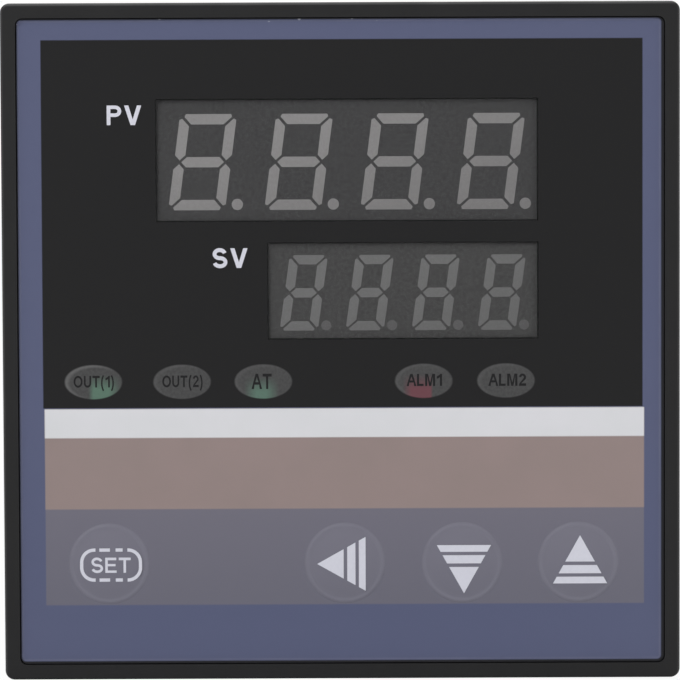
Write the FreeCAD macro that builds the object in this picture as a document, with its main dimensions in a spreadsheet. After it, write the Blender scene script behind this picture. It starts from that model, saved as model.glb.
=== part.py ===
"""Panel-mount temperature controller, 72 x 72 mm front, draw-out chassis.

Millimetres.  X is to the right as the user faces the front, Y runs back into the
panel, Z is up.  The origin is the centre of the panel cut-out, in the plane of the
panel's front face, where the back of the flange bears.
"""
import FreeCAD, Part
import math
import os
import re
import Sketcher
from FreeCAD import Vector

os.makedirs("parts", exist_ok=True)
doc = FreeCAD.newDocument("TemperatureController")

# ---------------------------------------------------------------- driving sizes
SIZES = {
    # flange of the case, in front of the panel
    "flange_width": 72.0,
    "flange_depth": 8.5,
    "flange_corner": 1.0,
    "flange_edge": 0.3,
    "flange_floor": 1.5,
    "rim_wall": 1.6,
    # sleeve of the case, through the panel
    "panel_cutout": 68.0,
    "cutout_gap": 0.5,
    "sleeve_wall": 2.0,
    "sleeve_depth": 92.0,
    "sleeve_corner": 1.5,
    # ventilation slots in the top and bottom of the sleeve
    "vent_width": 2.0,
    "vent_length": 18.0,
    "vent_pitch": 5.0,
    "vent_count": 7,
    "vent_start": 16.0,
    "vent_row_pitch": 34.0,
    # ratchet tracks that the fixing brackets slide along, one on each side
    "track_width": 12.0,
    "track_start": 8.0,
    "track_length": 62.0,
    "track_sink": 0.6,
    "notch_width": 1.4,
    "notch_pitch": 4.0,
    "notch_count": 14,
    "notch_sink": 0.6,
    # rails inside the sleeve that guide the two long circuit boards
    "rail_width": 1.2,
    "rail_height": 2.0,
    "rail_gap": 0.3,
    "rail_start": 6.0,
    # terminal block that closes the rear
    "block_plate": 3.0,
    "plug_depth": 5.0,
    "plug_floor": 2.0,
    "plug_wall": 2.0,
    "plug_gap": 0.15,
    "snap_width": 6.0,
    "snap_length": 2.0,
    "snap_height": 1.2,
    "snap_gap": 0.1,
    "snap_spread": 44.0,
    "terminal_count": 7,
    "terminal_pitch": 8.0,
    "terminal_x": 27.2,
    "cell_inner_x": 22.0,
    "barrier_wall": 1.2,
    "barrier_height": 6.5,
    "rear_vent_width": 2.0,
    "rear_vent_height": 34.0,
    "rear_vent_pitch": 6.0,
    "rear_vent_count": 5,
    # terminals
    "strip_width": 6.2,
    "strip_thickness": 0.8,
    "strip_outer": 4.0,
    "leg_width": 4.0,
    "leg_thickness": 0.6,
    "leg_reach": 9.0,
    "leg_slot_gap": 0.1,
    "contact_gap": 0.1,
    "washer_side": 6.2,
    "washer_thickness": 0.8,
    "screw_thread": 3.0,
    "screw_fit_gap": 0.05,
    "screw_head": 5.6,
    "screw_head_height": 2.0,
    "screw_length": 5.6,
    "screw_end_gap": 0.5,
    "recess_width": 0.9,
    "recess_span": 3.2,
    "recess_depth": 1.1,
    # front plate and printed film
    "running_gap": 0.2,
    "film_sink": 0.4,
    "film_thickness": 0.3,
    "film_margin": 0.05,
    "film_corner": 0.5,
    "plate_thickness": 2.0,
    "skirt_wall": 1.5,
    "seat_gap": 0.3,
    "window_gap": 0.2,
    "lamp_well_width": 7.2,
    "lamp_well_height": 4.6,
    "lamp_z": -4.2,
    "post_diameter": 5.0,
    "post_x": 28.0,
    "post_top_z": 28.0,
    "post_low_z": -13.5,
    "pilot_diameter": 1.8,
    "pilot_end_gap": 0.6,
    # retaining arms of the front plate
    "arm_width": 8.0,
    "arm_thickness": 1.2,
    "arm_gap": 0.3,
    "arm_reach": 16.0,
    "arm_nub_height": 0.2,
    "arm_nub_length": 2.0,
    # display modules
    "module_sink": 0.1,
    "module_depth": 7.1,
    "pv_width": 40.4,
    "pv_height": 12.8,
    "pv_x": 0.66,
    "pv_z": 19.3,
    "sv_width": 28.6,
    "sv_height": 10.1,
    "sv_x": 6.57,
    "sv_z": 5.41,
    "light_guide_depth": 3.0,
    # keys
    "key_z": -23.64,
    "key_travel": 0.25,
    "dome_diameter": 8.65,
    "dome_height": 0.35,
    "dome_wall": 0.5,
    "cap_diameter": 7.6,
    "cap_hole_gap": 0.3,
    "cap_top_gap": 0.3,
    "cap_thickness": 1.5,
    "neck_diameter": 4.0,
    "switch_side": 6.0,
    "switch_height": 3.5,
    "switch_stem": 3.4,
    "switch_stem_gap": 0.1,
    "switch_stem_rise": 0.9,
    "switch_stem_depth": 0.7,
    # indicator lamps
    "lamp_diameter": 3.0,
    "lamp_collar": 3.8,
    "lamp_collar_height": 0.8,
    "lamp_height": 5.0,
    "lamp_edge": 0.4,
    # circuit boards
    "board_thickness": 1.6,
    "board_play": 0.5,
    "board_gap": 0.3,
    "board_x": 22.0,
    "board_end_gap": 3.0,
    "board_screw_hole": 2.4,
    "board_screw": 1.7,
    "board_screw_length": 5.0,
    "board_screw_head": 4.2,
    "board_screw_head_height": 1.4,
    "header_side": 2.5,
    "header_length": 30.0,
    "spacer_diameter": 5.0,
    "spacer_tip": 2.9,
    "spacer_tip_gap": 0.1,
    "spacer_inset": 6.0,
    "spacer_z": 25.5,
}

doc_sheet = doc.addObject("Spreadsheet::Sheet", "Sizes")
for row, (name, amount) in enumerate(SIZES.items(), start=1):
    doc_sheet.set(f"A{row}", name)
    doc_sheet.set(f"B{row}", str(amount))
    doc_sheet.setAlias(f"B{row}", name)
doc.recompute()

# Places along the user's left-right line, named for what sits there.
KEY_X = {"set": -24.83, "shift": 0.31, "down": 12.82, "up": 25.19}
LAMP_WELL_X = {"out1": -26.4, "out2": -16.96, "tuning": -8.31, "alarm1": 8.76, "alarm2": 17.51}
LAMP_OFFSET = {"out1": (1.0, -0.8), "tuning": (0.1, -1.0), "alarm1": (-0.5, -0.9)}

# Sizes that follow from the driving ones.
SLEEVE_WIDTH = "(panel_cutout - 2 * cutout_gap)"
BORE_WIDTH = f"({SLEEVE_WIDTH} - 2 * sleeve_wall)"
RECESS_WIDTH = "(flange_width - 2 * rim_wall)"
FRONT_WIDTH = f"({RECESS_WIDTH} - 2 * running_gap)"
FILM_WIDTH = f"({FRONT_WIDTH} - 2 * film_margin)"
PLUG_WIDTH = f"({BORE_WIDTH} - 2 * plug_gap)"
FILM_FACE_Y = "(film_sink - flange_depth)"
PLATE_FACE_Y = f"({FILM_FACE_Y} + film_thickness)"
PLATE_BACK_Y = f"({PLATE_FACE_Y} + plate_thickness)"
SKIRT_BACK_Y = "(0 - flange_floor - seat_gap)"
MODULE_FACE_Y = f"({PLATE_FACE_Y} + module_sink)"
DISPLAY_BOARD_Y = f"({MODULE_FACE_Y} + module_depth)"
DISPLAY_BOARD_BACK_Y = f"({DISPLAY_BOARD_Y} + board_thickness)"
DISPLAY_BOARD_WIDTH = f"({BORE_WIDTH} - 2 * board_play)"
LONG_BOARD_Y = f"({DISPLAY_BOARD_BACK_Y} + board_gap)"
LONG_BOARD_HEIGHT = f"({BORE_WIDTH} - 2 * board_gap)"
BOARD_OUTER_X = "(board_x + board_thickness / 2)"
BOARD_INNER_X = "(board_x - board_thickness / 2)"
BLOCK_FACE_Y = "(sleeve_depth + block_plate)"
PLUG_END_Y = "(sleeve_depth - plug_depth)"
LONG_BOARD_END_Y = f"({PLUG_END_Y} - board_end_gap)"
SPACER_Y = f"({LONG_BOARD_END_Y} - spacer_inset)"
LEG_X = f"({BOARD_OUTER_X} + contact_gap + leg_thickness / 2)"
ARM_X = f"({BORE_WIDTH} / 2 - arm_gap - arm_thickness / 2)"

ORIGIN_NORMAL = {"XY_Plane": "+z", "XZ_Plane": "-y", "YZ_Plane": "+x"}


# ------------------------------------------------------------------ CAD helpers
def formula(text):
    """Prefix each size's name with the sheet it stands in."""
    def with_sheet(match):
        word = match.group()
        return "Sizes." + word if word in SIZES else word

    return re.sub(r"[a-z][a-z0-9_]*", with_sheet, str(text))


def bind(thing, prop, text):
    thing.setExpression(prop, formula(text))


def origin_of(body, role):
    for feature in body.Origin.OriginFeatures:
        if feature.Role == role:
            return feature
    raise ValueError(role)


def new_body(label):
    body = doc.addObject("PartDesign::Body", label)
    body.Label = label
    return body


def new_sketch(body, name, plane, level="0"):
    """A sketch on an origin plane, at a level along the row axis that the plane faces."""
    sketch = body.newObject("Sketcher::SketchObject", name)
    sketch.AttachmentSupport = (origin_of(body, plane), [""])
    sketch.MapMode = "FlatFace"
    sign = "-1" if ORIGIN_NORMAL[plane].startswith("-") else "1"
    bind(sketch, "AttachmentOffset.Base.z", f"{sign} * ({level})")
    return sketch


def limit(sketch, kind, *where_and_size):
    """One driven dimension of a sketch, its size given as a formula."""
    *where, text = where_and_size
    number = sketch.addConstraint(Sketcher.Constraint(kind, *where, 1.0))
    bind(sketch, f"Constraints[{number}]", text)


def outline(sketch, corners):
    """A closed outline of straight sides through corners, each a pair of formulas."""
    first = sketch.GeometryCount
    total = len(corners)
    for i in range(total):
        turn = 2 * math.pi / total
        start = Vector(math.cos(i * turn), math.sin(i * turn), 0)
        end = Vector(math.cos((i + 1) * turn), math.sin((i + 1) * turn), 0)
        sketch.addGeometry(Part.LineSegment(start, end), False)
    for i in range(total):
        sketch.addConstraint(Sketcher.Constraint("Coincident", first + i, 2, first + (i + 1) % total, 1))
    for i, (across, up) in enumerate(corners):
        limit(sketch, "DistanceX", -1, 1, first + i, 1, across)
        limit(sketch, "DistanceY", -1, 1, first + i, 1, up)


def box_outline(sketch, width, height, x="0", z="0"):
    left = f"({x}) - ({width}) / 2"
    right = f"({x}) + ({width}) / 2"
    low = f"({z}) - ({height}) / 2"
    high = f"({z}) + ({height}) / 2"
    outline(sketch, [(left, low), (right, low), (right, high), (left, high)])


def circle_outline(sketch, diameter, x="0", z="0"):
    circle = sketch.addGeometry(Part.Circle(Vector(0, 0, 0), Vector(0, 0, 1), 1.0), False)
    limit(sketch, "Diameter", circle, diameter)
    limit(sketch, "DistanceX", -1, 1, circle, 3, x)
    limit(sketch, "DistanceY", -1, 1, circle, 3, z)


def plane_of(sketch):
    return sketch.AttachmentSupport[0][0].Role


def pad(body, sketch, along, length):
    feature = body.newObject("PartDesign::Pad", sketch.Name + "_pad")
    feature.Profile = sketch
    feature.Reversed = along != ORIGIN_NORMAL[plane_of(sketch)]
    bind(feature, "Length", length)
    return feature


def pocket(body, sketch, along, length):
    feature = body.newObject("PartDesign::Pocket", sketch.Name + "_cut")
    feature.Profile = sketch
    feature.Reversed = along == ORIGIN_NORMAL[plane_of(sketch)]
    bind(feature, "Length", length)
    return feature


def cut_through(body, sketch):
    """A cut that runs right through the body, both ways from the sketch."""
    feature = body.newObject("PartDesign::Pocket", sketch.Name + "_cut")
    feature.Profile = sketch
    feature.Type = "ThroughAll"
    feature.Midplane = True
    return feature


def row_of(body, features, axis, pitch, count):
    """Repeats of features along an axis, a pitch apart, from where they are towards plus."""
    pattern = body.newObject("PartDesign::LinearPattern", features[0].Name + "_row")
    pattern.Originals = features
    pattern.Direction = (origin_of(body, axis), [""])
    pattern.Mode = "Spacing"
    bind(pattern, "Offset", pitch)
    bind(pattern, "Occurrences", count)
    body.Tip = pattern
    return pattern


def edges_where(feature, test):
    doc.recompute()
    return [f"Edge{i}" for i, edge in enumerate(feature.Shape.Edges, start=1) if test(edge)]


def round_edges(body, feature, test, radius):
    names = edges_where(feature, test)
    fillet = body.newObject("PartDesign::Fillet", feature.Name + "_round")
    fillet.Base = (feature, names)
    bind(fillet, "Radius", radius)
    return fillet


def slope_edges(body, feature, test, width):
    names = edges_where(feature, test)
    chamfer = body.newObject("PartDesign::Chamfer", feature.Name + "_slope")
    chamfer.Base = (feature, names)
    bind(chamfer, "Size", width)
    return chamfer


def runs_along_y(edge):
    box = edge.BoundBox
    return box.XLength < 1e-6 and box.ZLength < 1e-6


def runs_along_x(edge):
    box = edge.BoundBox
    return box.YLength < 1e-6 and box.ZLength < 1e-6


def size(name):
    return float(doc_sheet.get(name))


# ------------------------------------------------------------------------- case
def make_case_shell():
    """The moulded case: flange with a deep rim, sleeve, tracks, rails and slots."""
    body = new_body("case_shell")
    flange = new_sketch(body, "flange", "XZ_Plane")
    box_outline(flange, "flange_width", "flange_width")
    flange = pad(body, flange, "-y", "flange_depth")
    rounded = round_edges(body, flange, runs_along_y, "flange_corner")
    front_y = -size("flange_depth")
    rounded = round_edges(body, rounded, lambda e: abs(e.BoundBox.YMax - front_y) < 1e-6, "flange_edge")

    sleeve = new_sketch(body, "sleeve", "XZ_Plane")
    box_outline(sleeve, SLEEVE_WIDTH, SLEEVE_WIDTH)
    sleeve = pad(body, sleeve, "+y", "sleeve_depth")
    rear_y = size("sleeve_depth")
    rounded = round_edges(
        body, sleeve, lambda e: runs_along_y(e) and abs(e.BoundBox.YMax - rear_y) < 1e-6, "sleeve_corner"
    )

    recess = new_sketch(body, "recess", "XZ_Plane", "0 - flange_depth")
    box_outline(recess, RECESS_WIDTH, RECESS_WIDTH)
    recess = pocket(body, recess, "+y", "flange_depth - flange_floor")
    rounded = round_edges(
        body,
        recess,
        lambda e: runs_along_y(e) and abs(e.BoundBox.YMin - front_y) < 1e-6,
        "film_corner + film_margin + running_gap",
    )
    bore = new_sketch(body, "bore", "XZ_Plane", "sleeve_depth")
    box_outline(bore, BORE_WIDTH, BORE_WIDTH)
    pocket(body, bore, "-y", "sleeve_depth + flange_floor")

    rails = new_sketch(body, "rails", "XZ_Plane", "rail_start")
    rail_offset = "(board_thickness / 2 + rail_gap + rail_width / 2)"
    for side in (-1, 1):
        for edge in (-1, 1):
            for end in (-1, 1):
                box_outline(
                    rails,
                    "rail_width",
                    "rail_height",
                    f"{side} * (board_x + {edge} * {rail_offset})",
                    f"{end} * ({BORE_WIDTH} - rail_height) / 2",
                )
    pad(body, rails, "+y", f"{PLUG_END_Y} - rail_start - board_gap")

    vents = new_sketch(body, "vents", "XY_Plane")
    first_x = "0 - vent_pitch * (vent_count - 1) / 2"
    for number in range(2):
        centre_y = f"vent_start + vent_length / 2 + {number} * vent_row_pitch"
        box_outline(vents, "vent_width", "vent_length", first_x, centre_y)
    vents = cut_through(body, vents)
    row_of(body, [vents], "X_Axis", "vent_pitch", "vent_count")

    for side, along in ((-1, "+x"), (1, "-x")):
        word = "left" if side < 0 else "right"
        level = f"{side} * {SLEEVE_WIDTH} / 2"
        track = new_sketch(body, f"{word}_track", "YZ_Plane", level)
        box_outline(track, "track_length", "track_width", "track_start + track_length / 2", "0")
        pocket(body, track, along, "track_sink")
        notch = new_sketch(body, f"{word}_notch", "YZ_Plane", level)
        box_outline(notch, "notch_width", "track_width", "track_start + notch_pitch", "0")
        notch = pocket(body, notch, along, "track_sink + notch_sink")
        row_of(body, [notch], "Y_Axis", "notch_pitch", "notch_count")

    snaps = new_sketch(body, "snap_windows", "YZ_Plane")
    for end in (-1, 1):
        box_outline(
            snaps,
            "snap_length + 2 * snap_gap",
            "snap_width + 2 * snap_gap",
            "sleeve_depth - plug_depth / 2",
            f"{end} * snap_spread / 2",
        )
    cut_through(body, snaps)
    return body


# --------------------------------------------------------------- terminal block
def make_terminal_block():
    """The rear moulding: a plug that snaps into the sleeve, with barriers between terminals."""
    body = new_body("terminal_block")
    plate = new_sketch(body, "plate", "XZ_Plane", "sleeve_depth")
    box_outline(plate, SLEEVE_WIDTH, SLEEVE_WIDTH)
    plate = pad(body, plate, "+y", "block_plate")
    round_edges(body, plate, runs_along_y, "sleeve_corner")
    plug = new_sketch(body, "plug", "XZ_Plane", "sleeve_depth")
    box_outline(plug, PLUG_WIDTH, PLUG_WIDTH)
    pad(body, plug, "-y", "plug_depth")
    hollow = new_sketch(body, "plug_hollow", "XZ_Plane", PLUG_END_Y)
    box_outline(hollow, f"{PLUG_WIDTH} - 2 * plug_wall", f"{PLUG_WIDTH} - 2 * plug_wall")
    pocket(body, hollow, "+y", "plug_depth - plug_floor")

    snaps = new_sketch(body, "snap_nubs", "YZ_Plane", f"0 - {PLUG_WIDTH} / 2")
    far_snaps = new_sketch(body, "far_snap_nubs", "YZ_Plane", f"{PLUG_WIDTH} / 2")
    for sketch in (snaps, far_snaps):
        for end in (-1, 1):
            snap_z = f"{end} * snap_spread / 2"
            box_outline(sketch, "snap_length", "snap_width", "sleeve_depth - plug_depth / 2", snap_z)
    pad(body, snaps, "-x", "snap_height")
    pad(body, far_snaps, "+x", "snap_height")

    walls = new_sketch(body, "column_walls", "XZ_Plane", BLOCK_FACE_Y)
    column_height = "(terminal_count * terminal_pitch + barrier_wall)"
    for side in (-1, 1):
        wall_x = f"{side} * (cell_inner_x - barrier_wall / 2)"
        box_outline(walls, "barrier_wall", column_height, wall_x, "0")
    pad(body, walls, "+y", "barrier_height")
    barriers = new_sketch(body, "barriers", "XZ_Plane", BLOCK_FACE_Y)
    barrier_span = f"({SLEEVE_WIDTH} / 2 - cell_inner_x + barrier_wall / 2)"
    for side in (-1, 1):
        box_outline(
            barriers,
            barrier_span,
            "barrier_wall",
            f"{side} * ({SLEEVE_WIDTH} / 2 - {barrier_span} / 2)",
            "0 - terminal_count * terminal_pitch / 2",
        )
    barriers = pad(body, barriers, "+y", "barrier_height")
    row_of(body, [barriers], "Z_Axis", "terminal_pitch", "terminal_count + 1")

    first_z = "0 - (terminal_count - 1) * terminal_pitch / 2"
    holes = new_sketch(body, "screw_holes", "XZ_Plane", BLOCK_FACE_Y)
    for side in (-1, 1):
        circle_outline(holes, "screw_thread + 2 * screw_fit_gap", f"{side} * terminal_x", first_z)
    holes = pocket(
        body, holes, "-y", "screw_length + screw_end_gap - washer_thickness - strip_thickness"
    )
    slots = new_sketch(body, "leg_slots", "XZ_Plane", BLOCK_FACE_Y)
    for side in (-1, 1):
        box_outline(
            slots,
            "leg_thickness + 2 * leg_slot_gap",
            "leg_width + 2 * leg_slot_gap",
            f"{side} * {LEG_X}",
            first_z,
        )
    slots = pocket(body, slots, "-y", "block_plate + plug_depth")
    row_of(body, [holes, slots], "Z_Axis", "terminal_pitch", "terminal_count")

    vents = new_sketch(body, "rear_vents", "XZ_Plane", BLOCK_FACE_Y)
    box_outline(
        vents, "rear_vent_width", "rear_vent_height", "0 - rear_vent_pitch * (rear_vent_count - 1) / 2", "0"
    )
    vents = pocket(body, vents, "-y", "block_plate + plug_depth")
    row_of(body, [vents], "X_Axis", "rear_vent_pitch", "rear_vent_count")
    return body


def make_terminal_plates():
    """Fourteen bent brass strips: a pad under the screw and a leg that bears on a board."""
    body = new_body("terminal_plates")
    first_z = "0 - (terminal_count - 1) * terminal_pitch / 2"
    inner_x = f"({LEG_X} - leg_thickness / 2)"
    outer_x = "(terminal_x + strip_outer)"
    pads = new_sketch(body, "strip_pads", "XZ_Plane", BLOCK_FACE_Y)
    for side in (-1, 1):
        box_outline(
            pads, f"{outer_x} - {inner_x}", "strip_width", f"{side} * ({outer_x} + {inner_x}) / 2", first_z
        )
    pads = pad(body, pads, "+y", "strip_thickness")
    legs = new_sketch(body, "strip_legs", "XZ_Plane", BLOCK_FACE_Y)
    for side in (-1, 1):
        box_outline(legs, "leg_thickness", "leg_width", f"{side} * {LEG_X}", first_z)
    legs = pad(body, legs, "-y", "block_plate + plug_depth + leg_reach")
    holes = new_sketch(body, "strip_holes", "XZ_Plane", BLOCK_FACE_Y)
    for side in (-1, 1):
        circle_outline(holes, "screw_thread + 2 * screw_fit_gap", f"{side} * terminal_x", first_z)
    holes = pocket(body, holes, "+y", "strip_thickness")
    row_of(body, [pads, legs, holes], "Z_Axis", "terminal_pitch", "terminal_count")
    return body


def make_terminal_washers():
    """Fourteen square clamping washers, one under each screw head."""
    body = new_body("terminal_washers")
    first_z = "0 - (terminal_count - 1) * terminal_pitch / 2"
    washers = new_sketch(body, "washers", "XZ_Plane", f"{BLOCK_FACE_Y} + strip_thickness")
    for side in (-1, 1):
        box_outline(washers, "washer_side", "washer_side", f"{side} * terminal_x", first_z)
        circle_outline(washers, "screw_thread + 2 * screw_fit_gap", f"{side} * terminal_x", first_z)
    washers = pad(body, washers, "+y", "washer_thickness")
    row_of(body, [washers], "Z_Axis", "terminal_pitch", "terminal_count")
    return body


def make_terminal_screws():
    """Fourteen pan-head screws with cross recesses."""
    body = new_body("terminal_screws")
    first_z = "0 - (terminal_count - 1) * terminal_pitch / 2"
    seat_y = f"({BLOCK_FACE_Y} + strip_thickness + washer_thickness)"
    heads = new_sketch(body, "heads", "XZ_Plane", seat_y)
    shanks = new_sketch(body, "shanks", "XZ_Plane", seat_y)
    bars = new_sketch(body, "recess_bars", "XZ_Plane", f"{seat_y} + screw_head_height")
    cross_bars = new_sketch(body, "recess_cross_bars", "XZ_Plane", f"{seat_y} + screw_head_height")
    for side in (-1, 1):
        centre_x = f"{side} * terminal_x"
        circle_outline(heads, "screw_head", centre_x, first_z)
        circle_outline(shanks, "screw_thread", centre_x, first_z)
        box_outline(bars, "recess_span", "recess_width", centre_x, first_z)
        box_outline(cross_bars, "recess_width", "recess_span", centre_x, first_z)
    heads = pad(body, heads, "+y", "screw_head_height")
    shanks = pad(body, shanks, "-y", "screw_length")
    bars = pocket(body, bars, "-y", "recess_depth")
    cross_bars = pocket(body, cross_bars, "-y", "recess_depth")
    row_of(body, [heads, shanks, bars, cross_bars], "Z_Axis", "terminal_pitch", "terminal_count")
    return body


# ------------------------------------------------------------------ front module
def make_front_plate():
    """The moulded front of the chassis: windows, lamp wells, key holes, posts and arms."""
    body = new_body("front_plate")
    plate = new_sketch(body, "face", "XZ_Plane", PLATE_FACE_Y)
    box_outline(plate, FRONT_WIDTH, FRONT_WIDTH)
    plate = pad(body, plate, "+y", f"{SKIRT_BACK_Y} - {PLATE_FACE_Y}")
    round_edges(body, plate, runs_along_y, "film_corner + film_margin")
    hollow = new_sketch(body, "hollow", "XZ_Plane", SKIRT_BACK_Y)
    box_outline(hollow, f"{FRONT_WIDTH} - 2 * skirt_wall", f"{FRONT_WIDTH} - 2 * skirt_wall")
    pocket(body, hollow, "-y", f"{SKIRT_BACK_Y} - {PLATE_BACK_Y}")

    posts = new_sketch(body, "posts", "XZ_Plane", PLATE_BACK_Y)
    pilots = new_sketch(body, "pilots", "XZ_Plane", DISPLAY_BOARD_Y)
    for side in (-1, 1):
        for height in ("post_top_z", "post_low_z"):
            circle_outline(posts, "post_diameter", f"{side} * post_x", height)
            circle_outline(pilots, "pilot_diameter", f"{side} * post_x", height)
    pad(body, posts, "+y", f"{DISPLAY_BOARD_Y} - {PLATE_BACK_Y}")
    pocket(body, pilots, "-y", "board_screw_length - board_thickness + pilot_end_gap")

    arms = new_sketch(body, "arms", "XZ_Plane", PLATE_BACK_Y)
    for side in (-1, 1):
        box_outline(arms, "arm_thickness", "arm_width", f"{side} * {ARM_X}", "0")
    pad(body, arms, "+y", f"arm_reach - {PLATE_BACK_Y}")
    for side, along in ((-1, "-x"), (1, "+x")):
        word = "left" if side < 0 else "right"
        nub = new_sketch(body, f"{word}_nub", "YZ_Plane", f"{side} * ({ARM_X} + arm_thickness / 2)")
        box_outline(nub, "arm_nub_length", "arm_width", "arm_reach - arm_nub_length / 2", "0")
        pad(body, nub, along, "arm_nub_height")

    openings = new_sketch(body, "openings", "XZ_Plane", PLATE_FACE_Y)
    for word in ("pv", "sv"):
        box_outline(
            openings,
            f"{word}_width + 2 * window_gap",
            f"{word}_height + 2 * window_gap",
            f"{word}_x",
            f"{word}_z",
        )
    for well_x in LAMP_WELL_X.values():
        box_outline(openings, "lamp_well_width", "lamp_well_height", well_x, "lamp_z")
    for key_x in KEY_X.values():
        circle_outline(openings, "cap_diameter + 2 * cap_hole_gap", key_x, "key_z")
    pocket(body, openings, "+y", "plate_thickness")
    return body


def make_front_film():
    """The printed plastic film, with a hollow raised dome over each key."""
    body = new_body("front_film")
    sheet = new_sketch(body, "sheet", "XZ_Plane", PLATE_FACE_Y)
    box_outline(sheet, FILM_WIDTH, FILM_WIDTH)
    sheet = pad(body, sheet, "-y", "film_thickness")
    round_edges(body, sheet, runs_along_y, "film_corner")
    domes = new_sketch(body, "domes", "XZ_Plane", FILM_FACE_Y)
    for key_x in KEY_X.values():
        circle_outline(domes, "dome_diameter", key_x, "key_z")
    domes = pad(body, domes, "-y", "dome_height")
    bind(domes, "TaperAngle", "-1 * atan(dome_wall / dome_height)")
    insides = new_sketch(body, "dome_insides", "XZ_Plane", PLATE_FACE_Y)
    for key_x in KEY_X.values():
        circle_outline(insides, "dome_diameter - 2 * film_thickness", key_x, "key_z")
    pocket(body, insides, "-y", "dome_height")
    return body


# -------------------------------------------------------------- digital displays
# Each digit leans, is made of seven bars, and has a point at its foot.  "lean" is the
# slant across per height, "blunt" is cut off a bar's sharp corners, "drop" is how far
# the row lies below the module's middle, and "point_x" is right of the digit's middle.
DIGITS = {
    "pv": {
        "count": 4, "pitch": 10.2, "height": 10.2, "width": 6.04, "bar": 1.1, "gap": 0.2,
        "blunt": 0.42, "lean": 0.13, "drop": 0.17, "point": 1.2, "point_x": 3.66,
    },
    "sv": {
        "count": 4, "pitch": 7.02, "height": 8.04, "width": 4.07, "bar": 1.0, "gap": 0.16,
        "blunt": 0.3, "lean": 0.14, "drop": 0.21, "point": 1.08, "point_x": 2.37,
    },
}
SHARP = math.cos(math.radians(60))


def display_centre(word):
    return Vector(size(f"{word}_x"), 0, size(f"{word}_z"))


def module_face_y():
    return size("film_sink") - size("flange_depth") + size("film_thickness") + size("module_sink")


def blunted(corners, cut):
    """The outline with each corner sharper than 60 degrees cut off."""
    outline_points = []
    for before, corner, after in zip(corners[-1:] + corners[:-1], corners, corners[1:] + corners[:1]):
        back = (before - corner).normalize()
        onward = (after - corner).normalize()
        if back.dot(onward) > SHARP:
            outline_points += [corner + back * cut, corner + onward * cut]
        else:
            outline_points.append(corner)
    return outline_points


def segment_outlines(digit):
    """The seven bars of one digit, upright, as corners (across, 0, up) about its centre."""
    half_w = digit["width"] / 2
    half_h = digit["height"] / 2
    bar = digit["bar"]
    gap = digit["gap"]
    bars = []
    for level in (-1, 1):
        outer = level * half_h
        inner = level * (half_h - bar)
        bars.append([
            Vector(-half_w + gap, 0, outer),
            Vector(half_w - gap, 0, outer),
            Vector(half_w - bar - gap, 0, inner),
            Vector(-half_w + bar + gap, 0, inner),
        ])
    tip = half_w - bar / 2 - gap
    shoulder = half_w - bar - gap
    upper = [Vector(-tip, 0, 0), Vector(-shoulder, 0, bar / 2), Vector(shoulder, 0, bar / 2)]
    bars.append(upper + [corner * -1 for corner in upper])
    for side in (-1, 1):
        outer = side * half_w
        inner = side * (half_w - bar)
        for level in (-1, 1):
            bars.append([
                Vector(outer, 0, level * (half_h - gap)),
                Vector(inner, 0, level * (half_h - bar - gap)),
                Vector(inner, 0, level * (bar / 2 + gap)),
                Vector(outer - side * bar / 2, 0, level * gap),
                Vector(outer, 0, level * (gap + bar / 2)),
            ])
    return [blunted(corners, digit["blunt"]) for corners in bars]


def light_guides(word):
    """The light guides of a display as separate solids: seven bars and a point per digit."""
    digit = DIGITS[word]
    centre = display_centre(word)
    depth = Vector(0, size("light_guide_depth"), 0)
    solids = []
    for number in range(digit["count"]):
        across = (number - (digit["count"] - 1) / 2) * digit["pitch"]
        middle = centre + Vector(across, module_face_y(), -digit["drop"])
        for bar in segment_outlines(digit):
            leaning = [middle + corner + Vector(digit["lean"] * corner.z, 0, 0) for corner in bar]
            face = Part.Face(Part.makePolygon(leaning + leaning[:1]))
            solids.append(face.extrude(depth))
        point = middle + Vector(digit["point_x"], 0, (digit["point"] - digit["height"]) / 2)
        solids.append(Part.makeCylinder(digit["point"] / 2, depth.y, point, Vector(0, 1, 0)))
    return solids


def make_display(word):
    """A display module: its potting case with one pocket per light guide, and the guides."""
    solids = light_guides(word)
    case_feature = doc.addObject("Part::Box", f"{word}_case_block")
    bind(case_feature, "Length", f"{word}_width")
    bind(case_feature, "Width", "module_depth")
    bind(case_feature, "Height", f"{word}_height")
    bind(case_feature, "Placement.Base.x", f"{word}_x - {word}_width / 2")
    bind(case_feature, "Placement.Base.y", MODULE_FACE_Y)
    bind(case_feature, "Placement.Base.z", f"{word}_z - {word}_height / 2")
    guides = doc.addObject("Part::Feature", f"{word}_display_segments")
    guides.Label = f"{word}_display_segments"
    guides.Shape = Part.makeCompound(solids)
    case = doc.addObject("Part::Cut", f"{word}_display_case")
    case.Label = f"{word}_display_case"
    case.Base = case_feature
    case.Tool = guides
    return case, guides


# ------------------------------------------------------------------ lamps, keys
def make_lamp(label, well):
    """A round flat-topped indicator lamp with a collar on the board."""
    shift_x, shift_z = LAMP_OFFSET[well]
    body = new_body(label)
    place = (f"{LAMP_WELL_X[well]} + ({shift_x})", f"lamp_z + ({shift_z})")
    collar = new_sketch(body, "collar", "XZ_Plane", DISPLAY_BOARD_Y)
    circle_outline(collar, "lamp_collar", *place)
    pad(body, collar, "-y", "lamp_collar_height")
    lens = new_sketch(body, "lens", "XZ_Plane", DISPLAY_BOARD_Y)
    circle_outline(lens, "lamp_diameter", *place)
    lens = pad(body, lens, "-y", "lamp_height")
    tip_y = module_face_y() + size("module_depth") - size("lamp_height")
    slope_edges(body, lens, lambda e: abs(e.BoundBox.YMax - tip_y) < 1e-6, "lamp_edge")
    return body


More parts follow.
